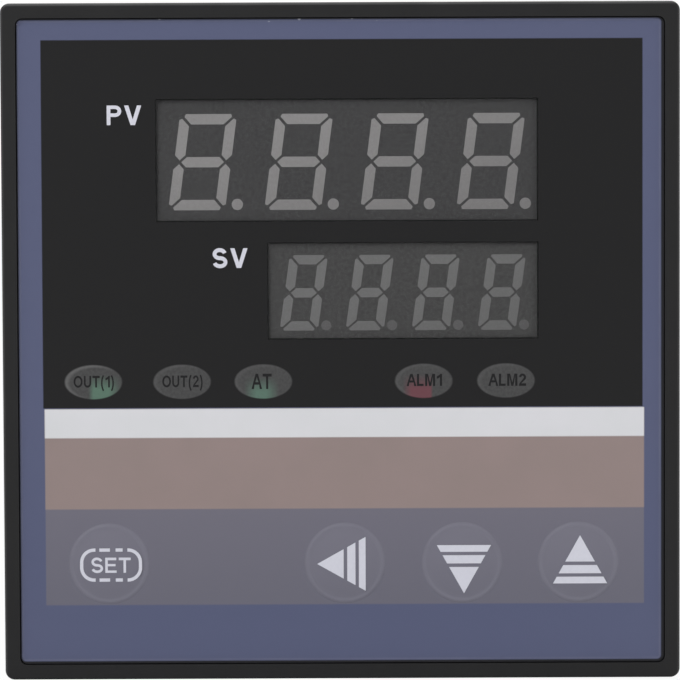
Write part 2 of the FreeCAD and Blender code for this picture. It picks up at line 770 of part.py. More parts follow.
def make_key(word):
    """A key: the round cap under the film, the tact switch's plunger and the switch itself."""
    key_x = KEY_X[word]
    cap_top = f"({PLATE_FACE_Y} - dome_height + cap_top_gap)"
    switch_top = f"({DISPLAY_BOARD_Y} - switch_height)"
    plunger_top = f"({switch_top} - switch_stem_rise)"

    cap = new_body(f"{word}_key_cap")
    disc = new_sketch(cap, "disc", "XZ_Plane", cap_top)
    circle_outline(disc, "cap_diameter", key_x, "key_z")
    pad(cap, disc, "+y", "cap_thickness")
    neck = new_sketch(cap, "neck", "XZ_Plane", cap_top)
    circle_outline(neck, "neck_diameter", key_x, "key_z")
    pad(cap, neck, "+y", f"{plunger_top} - {cap_top}")

    plunger = new_body(f"{word}_key_plunger")
    stem = new_sketch(plunger, "stem", "XZ_Plane", plunger_top)
    circle_outline(stem, "switch_stem", key_x, "key_z")
    pad(plunger, stem, "+y", "switch_stem_rise + switch_stem_depth")

    switch = new_body(f"{word}_switch")
    base = new_sketch(switch, "base", "XZ_Plane", DISPLAY_BOARD_Y)
    box_outline(base, "switch_side", "switch_side", key_x, "key_z")
    pad(switch, base, "-y", "switch_height")
    well = new_sketch(switch, "plunger_well", "XZ_Plane", switch_top)
    circle_outline(well, "switch_stem + 2 * switch_stem_gap", key_x, "key_z")
    pocket(switch, well, "+y", "switch_stem_depth + key_travel + switch_stem_gap")
    return [cap, plunger, switch]


# --------------------------------------------------------------- circuit boards
def make_display_board():
    """The front circuit board, notched for the front plate's arms."""
    body = new_body("display_board")
    board = new_sketch(body, "board", "XZ_Plane", DISPLAY_BOARD_Y)
    box_outline(board, DISPLAY_BOARD_WIDTH, DISPLAY_BOARD_WIDTH)
    pad(body, board, "+y", "board_thickness")
    cuts = new_sketch(body, "cuts", "XZ_Plane", DISPLAY_BOARD_Y)
    notch_depth = f"({DISPLAY_BOARD_WIDTH} / 2 - {ARM_X} + arm_thickness / 2 + arm_gap)"
    for side in (-1, 1):
        box_outline(
            cuts,
            f"2 * {notch_depth}",
            "arm_width + 2 * arm_gap",
            f"{side} * {DISPLAY_BOARD_WIDTH} / 2",
            "0",
        )
        for height in ("post_top_z", "post_low_z"):
            circle_outline(cuts, "board_screw_hole", f"{side} * post_x", height)
    pocket(body, cuts, "+y", "board_thickness")
    return body


def make_board_screws():
    """Four small pan-head screws through the front board into the posts."""
    body = new_body("display_board_screws")
    heads = new_sketch(body, "heads", "XZ_Plane", DISPLAY_BOARD_BACK_Y)
    shanks = new_sketch(body, "shanks", "XZ_Plane", DISPLAY_BOARD_BACK_Y)
    slots = new_sketch(body, "slots", "XZ_Plane", f"{DISPLAY_BOARD_BACK_Y} + board_screw_head_height")
    for side in (-1, 1):
        for height in ("post_top_z", "post_low_z"):
            place = (f"{side} * post_x", height)
            circle_outline(heads, "board_screw_head", *place)
            circle_outline(shanks, "board_screw", *place)
            box_outline(slots, "recess_span * board_screw_head / screw_head", "recess_width / 2", *place)
    pad(body, heads, "+y", "board_screw_head_height")
    pad(body, shanks, "-y", "board_screw_length")
    pocket(body, slots, "-y", "recess_depth / 2")
    return body


def make_long_board(label, side):
    """A circuit board that stands on edge in the sleeve, from the front board to the contacts."""
    body = new_body(label)
    board = new_sketch(body, "board", "YZ_Plane", f"{side} * board_x - board_thickness / 2")
    length = f"({LONG_BOARD_END_Y} - {LONG_BOARD_Y})"
    box_outline(board, length, LONG_BOARD_HEIGHT, f"{LONG_BOARD_Y} + {length} / 2", "0")
    for end in (-1, 1):
        circle_outline(board, "spacer_tip + 2 * spacer_tip_gap", SPACER_Y, f"{end} * spacer_z")
    pad(body, board, "+x", "board_thickness")
    return body


def make_header(label, side):
    """The strip that joins the front board to a long board."""
    body = new_body(label)
    strip = new_sketch(body, "strip", "XZ_Plane", DISPLAY_BOARD_BACK_Y)
    box_outline(strip, "header_side", "header_length", f"{side} * ({BOARD_INNER_X} - header_side / 2)", "0")
    pad(body, strip, "+y", "header_side")
    return body


def make_board_spacers():
    """Two nylon pillars between the long boards, their tips through holes in both."""
    body = new_body("board_spacers")
    pillars = new_sketch(body, "pillars", "YZ_Plane", f"0 - {BOARD_INNER_X}")
    tips = new_sketch(body, "tips", "YZ_Plane", f"0 - {BOARD_OUTER_X}")
    for end in (-1, 1):
        circle_outline(pillars, "spacer_diameter", SPACER_Y, f"{end} * spacer_z")
        circle_outline(tips, "spacer_tip", SPACER_Y, f"{end} * spacer_z")
    pad(body, pillars, "+x", f"2 * {BOARD_INNER_X}")
    pad(body, tips, "+x", f"2 * {BOARD_OUTER_X}")
    return body


# ------------------------------------------------------- components on the boards
# Block-shaped components: the board each stands on, its centre behind the front board
# or before the contact end of its own board, its centre up the board, its length and
# height on the board, and how far it stands off.
BLOCK_COMPONENTS = {
    "microcontroller": {
        "board": "control", "behind": 31.0, "up": 6.0, "length": 14.0, "height": 14.0, "reach": 2.2,
    },
    "memory_chip": {
        "board": "control", "behind": 49.0, "up": -10.0, "length": 9.5, "height": 6.4, "reach": 3.3,
    },
    "clock_crystal": {
        "board": "control", "behind": 27.0, "up": -9.0, "length": 11.0, "height": 4.6, "reach": 3.5,
    },
    "input_amplifier": {
        "board": "control", "before": 22.0, "up": 8.0, "length": 9.5, "height": 6.4, "reach": 3.3,
    },
    "output_relay": {
        "board": "power", "before": 14.0, "up": 11.0, "length": 19.0, "height": 15.3, "reach": 15.5,
    },
    "alarm_relay": {
        "board": "power", "before": 14.0, "up": -8.0, "length": 19.0, "height": 15.3, "reach": 15.5,
    },
}
COMPONENT_EDGE = 0.3


def make_block_component(label):
    """A component with a plain moulded body, soldered to the inner face of a long board."""
    block = BLOCK_COMPONENTS[label]
    if "behind" in block:
        centre_y = f"{LONG_BOARD_Y} + {block['behind']}"
    else:
        centre_y = f"{LONG_BOARD_END_Y} - {block['before']}"
    on_control = block["board"] == "control"
    body = new_body(label)
    base = new_sketch(body, "base", "YZ_Plane", f"0 - {BOARD_INNER_X}" if on_control else BOARD_INNER_X)
    box_outline(base, block["length"], block["height"], centre_y, block["up"])
    block_pad = pad(body, base, "+x" if on_control else "-x", block["reach"])
    round_edges(body, block_pad, runs_along_x, COMPONENT_EDGE)
    return body


TRANSFORMER = {
    "behind": 29.0,
    "z": -4.0,
    "stack": 14.0,
    "core_length": 28.0,
    "core_height": 24.0,
    "leg": 8.0,
    "yoke": 4.0,
    "standoff": 2.0,
    "rim": 4.0,
    "winding_gap": 0.3,
}


def make_transformer():
    """Laminated core with two windows, and the wound bobbin round its middle leg."""
    t = TRANSFORMER
    centre_y = f"({LONG_BOARD_Y} + {t['behind']})"
    centre_x = f"({BOARD_INNER_X} - {t['standoff']} - {t['core_height']} / 2)"
    core = new_body("transformer_core")
    iron = new_sketch(core, "lamination", "XY_Plane", t["z"] - t["stack"] / 2)
    box_outline(iron, t["core_height"], t["core_length"], centre_x, centre_y)
    window_width = (t["core_length"] - t["leg"] - 2 * t["yoke"]) / 2
    window_shift = (t["leg"] + window_width) / 2
    window_height = t["core_height"] - 2 * t["yoke"]
    for end in (-1, 1):
        box_outline(iron, window_height, window_width, centre_x, f"{centre_y} + {end * window_shift}")
    pad(core, iron, "+z", t["stack"])

    bobbin = new_body("transformer_winding")
    gap = t["winding_gap"]
    around = new_sketch(bobbin, "around_leg", "YZ_Plane", f"{centre_x} - {window_height / 2 - gap}")
    box_outline(around, t["leg"] + 2 * window_width - 2 * gap, t["stack"] + 2 * t["rim"], centre_y, t["z"])
    box_outline(around, t["leg"] + 2 * gap, t["stack"] + 2 * gap, centre_y, t["z"])
    pad(bobbin, around, "+x", window_height - 2 * gap)
    feet = new_sketch(bobbin, "feet", "YZ_Plane", BOARD_INNER_X)
    for end in (-1, 1):
        foot_z = t["z"] + end * (t["stack"] / 2 + gap + (t["rim"] - gap) / 2)
        box_outline(feet, t["leg"] + 2 * window_width - 2 * gap, t["rim"] - gap, centre_y, foot_z)
    pad(bobbin, feet, "-x", t["standoff"] + t["yoke"] + gap)
    return [core, bobbin]


CAPACITORS = {
    "smoothing_capacitor": {"behind": 12.0, "up": 16.0, "diameter": 10.0, "length": 16.0},
    "output_capacitor": {"behind": 25.0, "up": 18.5, "diameter": 8.0, "length": 11.5},
}
CAPACITOR_EDGE = 0.5


def make_capacitor(label):
    """A can capacitor that stands on the power board."""
    can_size = CAPACITORS[label]
    body = new_body(label)
    can = new_sketch(body, "can", "YZ_Plane", BOARD_INNER_X)
    circle_outline(can, can_size["diameter"], f"{LONG_BOARD_Y} + {can_size['behind']}", can_size["up"])
    can_pad = pad(body, can, "-x", can_size["length"])
    top_x = size("board_x") - size("board_thickness") / 2 - can_size["length"]
    slope_edges(body, can_pad, lambda e: abs(e.BoundBox.XMax - top_x) < 1e-6, CAPACITOR_EDGE)
    return body


REGULATOR = {
    "behind": 11.0,
    "up": -20.0,
    "width": 10.2,
    "case_thickness": 4.5,
    "case_reach": 9.5,
    "tab_thickness": 1.3,
    "tab_reach": 15.5,
    "hole_diameter": 3.6,
    "hole_reach": 12.5,
}


def make_regulator():
    """A regulator on the power board: a moulded case with a taller metal tab behind it."""
    r = REGULATOR
    body = new_body("voltage_regulator")
    front_y = f"({LONG_BOARD_Y} + {r['behind']} - {r['case_thickness']} / 2)"
    back_y = f"({front_y} + {r['case_thickness']})"
    base = new_sketch(body, "case", "YZ_Plane", BOARD_INNER_X)
    box_outline(base, r["case_thickness"], r["width"], f"{front_y} + {r['case_thickness']} / 2", r["up"])
    pad(body, base, "-x", r["case_reach"])
    tab = new_sketch(body, "tab", "YZ_Plane", BOARD_INNER_X)
    box_outline(tab, r["tab_thickness"], r["width"], f"{back_y} - {r['tab_thickness']} / 2", r["up"])
    pad(body, tab, "-x", r["tab_reach"])
    hole = new_sketch(body, "tab_hole", "XZ_Plane", f"{back_y} - {r['tab_thickness']}")
    circle_outline(hole, r["hole_diameter"], f"{BOARD_INNER_X} - {r['hole_reach']}", r["up"])
    pocket(body, hole, "+y", r["tab_thickness"])
    return body


# -------------------------------------------------------------------- assemble
nodes = [make_case_shell(), make_terminal_block(), make_terminal_plates()]
nodes += [make_terminal_washers(), make_terminal_screws()]
nodes += [make_front_plate(), make_front_film()]
for display in ("pv", "sv"):
    nodes += make_display(display)
nodes.append(make_lamp("output_lamp", "out1"))
nodes.append(make_lamp("tuning_lamp", "tuning"))
nodes.append(make_lamp("alarm_lamp", "alarm1"))
for key in KEY_X:
    nodes += make_key(key)
nodes += [make_display_board(), make_board_screws()]
nodes += [make_long_board("control_board", -1), make_long_board("power_board", 1)]
nodes += [make_header("control_header", -1), make_header("power_header", 1)]
nodes.append(make_board_spacers())
for component in BLOCK_COMPONENTS:
    nodes.append(make_block_component(component))
nodes += make_transformer()
for component in CAPACITORS:
    nodes.append(make_capacitor(component))
nodes.append(make_regulator())

doc.recompute()
faults = []
for thing in doc.Objects:
    if "Invalid" in thing.State or "Error" in thing.State:
        faults.append(f"{thing.Name}: {thing.State}")
for node in nodes:
    if node.Shape.isNull() or not node.Shape.isValid() or not node.Shape.Solids:
        faults.append(f"{node.Label}: bad shape")
if faults:
    raise RuntimeError("; ".join(faults))
for node in nodes:
    node.Shape.exportStep(f"parts/{node.Label}.step")
    print(node.Label, len(node.Shape.Solids), round(node.Shape.Volume, 2))
print(len(nodes), "nodes")
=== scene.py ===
"""Looks of a 72 x 72 mm panel-mount temperature controller, dressed over its solids.

The object's frame is kept: X to the right as the user faces the front, Y back into
the panel, Z up.  Sizes in this file are in millimetres until a mesh or a camera is
placed, and MM turns them into the scene's metres.
"""

import math

import bmesh
import bpy
from mathutils import Matrix, Vector


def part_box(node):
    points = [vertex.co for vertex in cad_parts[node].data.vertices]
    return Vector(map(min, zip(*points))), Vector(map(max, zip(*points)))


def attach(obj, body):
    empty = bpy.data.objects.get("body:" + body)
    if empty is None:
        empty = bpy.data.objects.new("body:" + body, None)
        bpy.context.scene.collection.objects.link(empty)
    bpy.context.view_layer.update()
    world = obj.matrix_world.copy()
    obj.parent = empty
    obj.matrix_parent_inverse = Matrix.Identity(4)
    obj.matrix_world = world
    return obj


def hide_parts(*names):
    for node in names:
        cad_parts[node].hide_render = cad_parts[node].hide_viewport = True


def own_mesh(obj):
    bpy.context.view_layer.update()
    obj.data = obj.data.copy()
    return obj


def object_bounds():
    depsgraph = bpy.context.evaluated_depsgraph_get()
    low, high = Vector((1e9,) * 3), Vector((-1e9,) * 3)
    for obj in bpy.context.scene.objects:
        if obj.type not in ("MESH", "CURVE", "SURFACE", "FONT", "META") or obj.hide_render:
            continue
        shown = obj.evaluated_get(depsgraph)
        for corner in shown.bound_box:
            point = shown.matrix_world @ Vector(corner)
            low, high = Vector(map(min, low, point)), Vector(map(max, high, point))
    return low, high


MM = 0.001
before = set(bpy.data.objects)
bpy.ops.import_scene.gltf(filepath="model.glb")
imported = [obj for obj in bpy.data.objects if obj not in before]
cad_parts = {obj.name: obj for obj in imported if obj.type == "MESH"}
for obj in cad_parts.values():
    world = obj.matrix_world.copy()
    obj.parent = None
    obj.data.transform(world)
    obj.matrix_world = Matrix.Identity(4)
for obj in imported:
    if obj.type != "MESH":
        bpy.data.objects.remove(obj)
solids_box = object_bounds()


# ------------------------------------------------------------------------- studio
# A white sweep in a softly lit room: a large lamp up to the left of the camera, weaker
# ones to the right and behind, and a pale room that shows white past the object.
ROOM_LIGHT = 0.485
FLOOR_RADIUS = 3.0
FLOOR_GAP = 0.2
FLOOR_GLOW = 0.95
CAMERA_DISTANCE = 400
CAMERA_RISE = math.radians(3.0)
CAMERA_ROLL = math.radians(0.24)
FRONT_MIDDLE = Vector((-0.13, -8.5, 0.2))


class Field:
    """A value that changes over a surface: one output socket of a set of nodes."""

    def __init__(self, nodes, socket):
        self.nodes = nodes
        self.socket = socket

    def maths(self, operation, *values, clamp=False):
        settings = {"operation": operation, "use_clamp": clamp}
        return self.nodes.node("ShaderNodeMath", settings, dict(enumerate(values)))

    def __add__(self, other):
        return self.maths("ADD", self, other)

    def __sub__(self, other):
        return self.maths("SUBTRACT", self, other)

    def __rsub__(self, other):
        return self.maths("SUBTRACT", other, self)

    def __mul__(self, other):
        return self.maths("MULTIPLY", self, other)

    def __truediv__(self, other):
        return self.maths("DIVIDE", self, other)

    def __pow__(self, other):
        return self.maths("POWER", self, other)

    __radd__ = __add__
    __rmul__ = __mul__

    def clamped(self):
        return self.maths("ADD", self, 0.0, clamp=True)

    def size(self):
        return self.maths("ABSOLUTE", self)

    def over(self, level):
        """How far the value lies above the level, or 0 below it."""
        return self.maths("MAXIMUM", self - level, 0.0)

    def past(self, level, softness):
        """0 below the level and 1 above it, with a soft step between."""
        return self.maths("ADD", (self - level) / softness, 0.5, clamp=True)

    def between(self, low, high, softness):
        return self.past(low, softness) * (1 - self.past(high, softness))

    def repeated(self, pitch):
        """The distance from the nearest of a row of places that are a pitch apart."""
        return self.maths("WRAP", self, pitch / 2, -pitch / 2)

    def waves(self, rate):
        """A smooth wave from 0 to 1 and back, at a rate in radians."""
        return self.maths("SINE", self * rate) * 0.5 + 0.5


def paint(red, green, blue):
    """A colour as a paint card gives it, 0 to 255, as the light it sends back."""
    def light(level):
        level = level / 255
        return level / 12.92 if level <= 0.04045 else ((level + 0.055) / 1.055) ** 2.4

    return (light(red), light(green), light(blue), 1.0)


class Nodes:
    """The shader nodes of one finish or of the room."""

    def __init__(self, owner):
        owner.use_nodes = True
        self.tree = owner.node_tree
        self.tree.nodes.clear()

    def fill(self, socket, value):
        if isinstance(value, Field):
            self.tree.links.new(value.socket, socket)
        else:
            socket.default_value = value

    def node(self, kind, settings={}, values={}, output=0):
        made = self.tree.nodes.new(kind)
        for name, value in settings.items():
            setattr(made, name, value)
        for name, value in values.items():
            self.fill(made.inputs[name], value)
        return Field(self, made.outputs[output]) if made.outputs else None

    def mixed(self, share, first, second):
        """The first colour where the share is 0 and the second where it is 1."""
        return self.node("ShaderNodeMix", {"data_type": "RGBA"}, {0: share, 6: first, 7: second}, 2)


room_world = bpy.data.worlds.new("room")
bpy.context.scene.world = room_world
room = Nodes(room_world)
seen = room.node("ShaderNodeLightPath", output="Is Camera Ray")
through = room.node("ShaderNodeLightPath", output="Is Transmission Ray")
mirrored = room.node("ShaderNodeLightPath", output="Is Glossy Ray")
toward = room.node("ShaderNodeTexCoord", output="Generated")
behind = room.node("ShaderNodeSeparateXYZ", {}, {0: toward}, "Y").past(0.1, 0.4)
bright = (seen + through + mirrored * behind).clamped()
walls = room.node("ShaderNodeBackground", {}, {
    "Color": (1.0, 1.0, 1.0, 1.0), "Strength": bright * (1 - ROOM_LIGHT) + ROOM_LIGHT})
room.node("ShaderNodeOutputWorld", {}, {"Surface": walls})

floor_mesh = bmesh.new()
bmesh.ops.create_circle(floor_mesh, cap_ends=True, segments=64, radius=FLOOR_RADIUS)
bmesh.ops.translate(floor_mesh, verts=floor_mesh.verts, vec=(0, 0, solids_box[0][2] - FLOOR_GAP * MM))
floor = bpy.data.objects.new("floor", bpy.data.meshes.new("floor"))
floor_mesh.to_mesh(floor.data)
floor_mesh.free()
bpy.context.scene.collection.objects.link(floor)
floor.data.materials.append(bpy.data.materials.new("floor paint"))
sweep = Nodes(floor.data.materials[0])
grain = sweep.node("ShaderNodeTexNoise", {}, {
    "Vector": sweep.node("ShaderNodeTexCoord", output="Object"), "Scale": 40.0})
matte = sweep.node("ShaderNodeBsdfDiffuse", {}, {
    "Color": sweep.mixed(grain, paint(240, 240, 240), paint(246, 246, 246))})
glow = sweep.node("ShaderNodeEmission", {}, {"Color": (1.0, 1.0, 1.0, 1.0), "Strength": 1.0})
floor_seen = sweep.node("ShaderNodeLightPath", output="Is Camera Ray")
finish = sweep.node("ShaderNodeMixShader", {}, {0: floor_seen * FLOOR_GLOW, 1: matte, 2: glow})
sweep.node("ShaderNodeOutputMaterial", {}, {"Surface": finish})


def hang_lamp(name, place, side, power):
    """A square lamp that faces the middle of the panel's cut-out."""
    light = bpy.data.lights.new(name, "AREA")
    light.shape = "SQUARE"
    light.size = side
    light.energy = power
    lamp = bpy.data.objects.new(name, light)
    bpy.context.scene.collection.objects.link(lamp)
    lamp.location = place
    lamp.rotation_euler = (-Vector(place)).to_track_quat("-Z", "Y").to_euler()


hang_lamp("upper left lamp", (-0.55, -0.75, 0.75), 0.5, 7.5)
hang_lamp("right lamp", (0.9, -0.6, 0.25), 0.6, 2.2)
hang_lamp("rear lamp", (0.4, 1.0, 0.6), 0.6, 4.0)

camera = bpy.data.objects.new("camera", bpy.data.cameras.new("camera"))
bpy.context.scene.collection.objects.link(camera)
bpy.context.scene.camera = camera
camera.data.sensor_width = 36.0
camera.data.lens = 199.3
aim = FRONT_MIDDLE * MM
camera.location = aim + CAMERA_DISTANCE * MM * Vector((0, -math.cos(CAMERA_RISE), math.sin(CAMERA_RISE)))
camera.rotation_euler = (
    (aim - camera.location).to_track_quat("-Z", "Y").to_matrix() @ Matrix.Rotation(-CAMERA_ROLL, 3, "Z")
).to_euler()
bpy.context.scene.view_settings.view_transform = "Standard"


# --------------------------------------------------------------------- case shell
# The flange and sleeve are one moulding in black ABS.  Its mould was spark-eroded,
# which leaves a fine even grain that softens the shine.
class Finish(Nodes):
    """One finish: a Principled surface that reads its place on the object in mm."""

    def __init__(self, name):
        self.material = bpy.data.materials.new(name)
        Nodes.__init__(self, self.material)
        self.shader = self.tree.nodes.new("ShaderNodeBsdfPrincipled")
        out = self.tree.nodes.new("ShaderNodeOutputMaterial")
        self.tree.links.new(self.shader.outputs[0], out.inputs["Surface"])
        self.place = self.node(
            "ShaderNodeVectorMath", {"operation": "SCALE"},
            {0: self.node("ShaderNodeTexCoord", output="Object"), "Scale": 1 / MM})
        self.x, self.y, self.z = (
            self.node("ShaderNodeSeparateXYZ", {}, {0: self.place}, output) for output in range(3))

    def noise(self, size, detail=2.0, stretch=(1, 1, 1)):
        """Cloudy noise, 0 to 1, whose patches are about size mm across."""
        turned = self.node("ShaderNodeMapping", {}, {"Vector": self.place, "Scale": stretch})
        return self.node("ShaderNodeTexNoise", {}, {"Vector": turned, "Scale": 1 / size, "Detail": detail})

    def cells(self, size, output="Distance"):
        return self.node("ShaderNodeTexVoronoi", {}, {"Vector": self.place, "Scale": 1 / size}, output)

    def surface(self, **values):
        for name, value in values.items():
            self.fill(self.shader.inputs[name.replace("_", " ")], value)

    def relief(self, height, depth, strength=1.0):
        """Raises the surface by up to depth mm where the height is 1."""
        self.surface(Normal=self.node(
            "ShaderNodeBump", {}, {"Strength": strength, "Distance": depth * MM, "Height": height}))

    def on(self, *nodes):
        for name in nodes:
            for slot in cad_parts[name].material_slots:
                slot.material = self.material


moulded_black = Finish("black moulded ABS")
grain = moulded_black.noise(0.14, 3.0)
clouds = moulded_black.noise(6.0, 3.0)
# Painted highlight: the flange's front edges are painted paler, most along the top, less at the sides and not
# at the bottom, as if the rounded edge caught the light.
top_edge = moulded_black.z.past(35.8, 0.3)
side_edges = moulded_black.x.size().past(35.85, 0.3)
on_the_front = 1 - moulded_black.y.past(-7.9, 0.2)
painted_flange_highlight = (top_edge * 0.3 + side_edges * 0.16) * on_the_front * (clouds + 0.5)
moulded_black.surface(
    Base_Color=moulded_black.mixed(
        painted_flange_highlight, moulded_black.mixed(clouds, paint(20, 20, 21), paint(26, 26, 27)), paint(150, 150, 150)),
    Roughness=grain * 0.16 + clouds * 0.1 + 0.34, Specular_IOR_Level=0.3)
moulded_black.relief(grain, 0.012, 0.6)
moulded_black.on("case_shell")


# ----------------------------------------------------------------- terminal block
# The rear closure is glass-filled nylon, duller than the case, with weld lines and
# flow marks.  Numbers are raised beside the screws.
ROW_COUNT = 7
ROW_PITCH = 8.0
TOP_ROW = 24.0
NUMBER_X = 17.4
BLOCK_FACE = 95.05
NUMBER_HEIGHT = 2.4
NUMBER_DEPTH = 0.3

flowed_nylon = Finish("black glass-filled nylon")
flow = flowed_nylon.noise(3.0, 4.0, (1.0, 1.0, 0.35))
fibre = flowed_nylon.noise(0.25, 2.0, (1.0, 1.0, 0.3))
flowed_nylon.surface(
    Base_Color=flowed_nylon.mixed(flow, paint(34, 35, 36), paint(48, 48, 49)),
    Roughness=fibre * 0.2 + 0.42)
flowed_nylon.relief(fibre, 0.02, 0.5)
flowed_nylon.on("terminal_block")


STANDING = Matrix.Rotation(math.radians(90), 3, "X")


def place_piece(name, shape, finish, body, smooth=None):
    """Turns a finished bmesh, in mm, into a piece of the object that rides on a body."""
    bmesh.ops.scale(shape, verts=shape.verts, vec=(MM, MM, MM))
    mesh = bpy.data.meshes.new(name)
    shape.to_mesh(mesh)
    shape.free()
    mesh.materials.append(finish.material)
    piece = bpy.data.objects.new(name, mesh)
    bpy.context.scene.collection.objects.link(piece)
    if smooth is not None:
        mesh.shade_smooth()
        mesh.set_sharp_from_angle(angle=math.radians(smooth))
    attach(piece, body)
    return piece


def thicken(shape, ahead):
    """Gives a flat shape a thickness by drawing its faces out along a vector."""
    grown = bmesh.ops.extrude_face_region(shape, geom=shape.faces[:])
    raised = [v for v in grown["geom"] if isinstance(v, bmesh.types.BMVert)]
    bmesh.ops.translate(shape, verts=raised, vec=ahead)


def fill_box(shape, left, right, low, high):
    """Stretches and moves a flat shape so that it fills a box."""
    across = [v.co.x for v in shape.verts]
    up = [v.co.y for v in shape.verts]
    bmesh.ops.translate(shape, verts=shape.verts, vec=(-min(across), -min(up), 0))
    wide = (right - left) / (max(across) - min(across))
    tall = (high - low) / (max(up) - min(up))
    bmesh.ops.scale(shape, verts=shape.verts, vec=(wide, tall, 1))
    bmesh.ops.translate(shape, verts=shape.verts, vec=(left, low, 0))


def lettering(words, wide, high, depth):
    """Words as letters of that size and thickness, upright, about the middle of their line."""
    curve = bpy.data.curves.new(words, "FONT")
    curve.body = words
    curve.resolution_u = 4
    text = bpy.data.objects.new(words, curve)
    flat = bpy.data.meshes.new_from_object(text)
    shape = bmesh.new()
    shape.from_mesh(flat)
    bpy.data.objects.remove(text)
    bpy.data.curves.remove(curve)
    bpy.data.meshes.remove(flat)
    bmesh.ops.remove_doubles(shape, verts=shape.verts, dist=1e-6)
    bmesh.ops.dissolve_degenerate(shape, dist=1e-6, edges=shape.edges)
    fill_box(shape, -wide / 2, wide / 2, -high / 2, high / 2)
    thicken(shape, (0, 0, depth))
    bmesh.ops.rotate(shape, verts=shape.verts, matrix=STANDING)
    bmesh.ops.recalc_face_normals(shape, faces=shape.faces)
    return shape


def gather(shapes):
    """Several bmeshes as one."""
    whole = bmesh.new()
    for shape in shapes:
        part = bpy.data.meshes.new("part")
        shape.to_mesh(part)
        whole.from_mesh(part)
        shape.free()
        bpy.data.meshes.remove(part)
    return whole


numbers = []
for number in range(1, 2 * ROW_COUNT + 1):
    column, row = divmod(number - 1, ROW_COUNT)
    shape = lettering(str(number), 2.9 if number > 9 else 1.4, NUMBER_HEIGHT, NUMBER_DEPTH)
    bmesh.ops.rotate(shape, verts=shape.verts, matrix=Matrix.Rotation(math.pi, 3, "Z"))
    number_at = (NUMBER_X * (1 - 2 * column), BLOCK_FACE, TOP_ROW - ROW_PITCH * row)
    bmesh.ops.translate(shape, verts=shape.verts, vec=number_at)
    numbers.append(shape)
place_piece("terminal_numbers", gather(numbers), flowed_nylon, "case")


# ---------------------------------------------------- terminal strips and screws
# Strips are punched from tinned brass; the square washers and the screws are zinc
# plated steel.  Screw heads keep the fine rings of their turning.
SCREW_X = 27.2

tinned_brass = Finish("tinned brass strip")
rolled = tinned_brass.noise(0.5, 3.0, (1.0, 0.08, 1.0))
tinned_brass.surface(
    Base_Color=tinned_brass.mixed(rolled, paint(196, 186, 160), paint(214, 208, 190)),
    Metallic=1.0, Roughness=rolled * 0.2 + 0.24)
tinned_brass.relief(rolled, 0.01, 0.4)
tinned_brass.on("terminal_plates")

zinc = Finish("zinc plated steel")
from_screw_x = zinc.x.size() - SCREW_X
from_screw_z = zinc.z.repeated(ROW_PITCH)
rings = ((from_screw_x * from_screw_x + from_screw_z * from_screw_z) ** 0.5).waves(42.0)
patches = zinc.noise(1.2, 3.0)
zinc.surface(
    Base_Color=zinc.mixed(patches, paint(182, 186, 192), paint(206, 209, 212)),
    Metallic=1.0, Roughness=patches * 0.16 + 0.22)
zinc.relief(rings * 0.6 + patches * 0.4, 0.008, 0.5)
zinc.on("terminal_washers", "terminal_screws", "display_board_screws")


# ----------------------------------------------------------------- circuit boards
# FR4 with green solder mask over copper: blocks of parallel tracks, and a pour that
# fills the rest.  The same pattern is read across the two long boards and the front one.
TRACK_PITCH = 1.1
TRACK_GAP = 0.3
PIN_PITCH = 2.54

solder_mask = Finish("green solder mask")
along, up = solder_mask.x + solder_mask.y, solder_mask.z
blocks = solder_mask.node(
    "ShaderNodeTexVoronoi", {"distance": "CHEBYCHEV"}, {"Vector": solder_mask.place, "Scale": 0.11}, "Color")
choice = solder_mask.node("ShaderNodeSeparateColor", {}, {0: blocks})
gap_along = up.repeated(TRACK_PITCH).size().past(TRACK_GAP, 0.06) * (1 - choice.past(0.42, 0.01))
gap_up = along.repeated(TRACK_PITCH).size().past(TRACK_GAP, 0.06) * choice.between(0.42, 0.62, 0.01)
pad_along, pad_up = along.repeated(5.08), up.repeated(7.62)
from_pad = (pad_along * pad_along + pad_up * pad_up) ** 0.5
tracks = (1 - gap_along) * (1 - gap_up)
copper = (tracks * from_pad.past(0.95, 0.1) + (1 - from_pad.past(0.62, 0.1))).clamped()
weave = solder_mask.noise(0.35, 2.0)
solder_mask.surface(
    Base_Color=solder_mask.mixed(
        1 - from_pad.past(0.28, 0.08), solder_mask.mixed(copper, paint(17, 58, 38), paint(28, 84, 52)),
        paint(150, 152, 148)),
    Roughness=weave * 0.1 + 0.26, Coat_Weight=0.3, Coat_Roughness=0.15)
solder_mask.relief(copper * 0.8 + weave * 0.2, 0.03, 0.6)
solder_mask.on("display_board", "control_board", "power_board")

black_header = Finish("black header plastic")
black_header.surface(
    Base_Color=black_header.mixed(black_header.noise(1.5), paint(26, 26, 27), paint(36, 36, 37)),
    Roughness=black_header.noise(0.3) * 0.15 + 0.4)
black_header.relief(black_header.z.repeated(PIN_PITCH).size().past(1.1, 0.1), 0.1, 0.8)
black_header.on("control_header", "power_header")

natural_nylon = Finish("natural nylon")
cloud = natural_nylon.noise(2.0)
natural_nylon.surface(
    Base_Color=natural_nylon.mixed(cloud, paint(208, 205, 194), paint(222, 220, 212)),
    Roughness=cloud * 0.2 + 0.35, Subsurface_Weight=0.15, Subsurface_Radius=(0.001, 0.001, 0.0008))
natural_nylon.relief(natural_nylon.noise(0.3), 0.01, 0.4)
natural_nylon.on("board_spacers")


# -------------------------------------------------------------- board components
# Chips in black epoxy, a can for the clock crystal, two relays, the transformer and its
# capacitors, and a regulator in the same black resin as the chips.
chip_resin = Finish("black chip resin")
fill = chip_resin.noise(0.12, 3.0)
chip_resin.surface(
    Base_Color=chip_resin.mixed(fill, paint(30, 30, 32), paint(46, 46, 48)), Roughness=fill * 0.2 + 0.5)
chip_resin.relief(fill, 0.015, 0.5)
chip_resin.on("microcontroller", "memory_chip", "input_amplifier", "voltage_regulator")

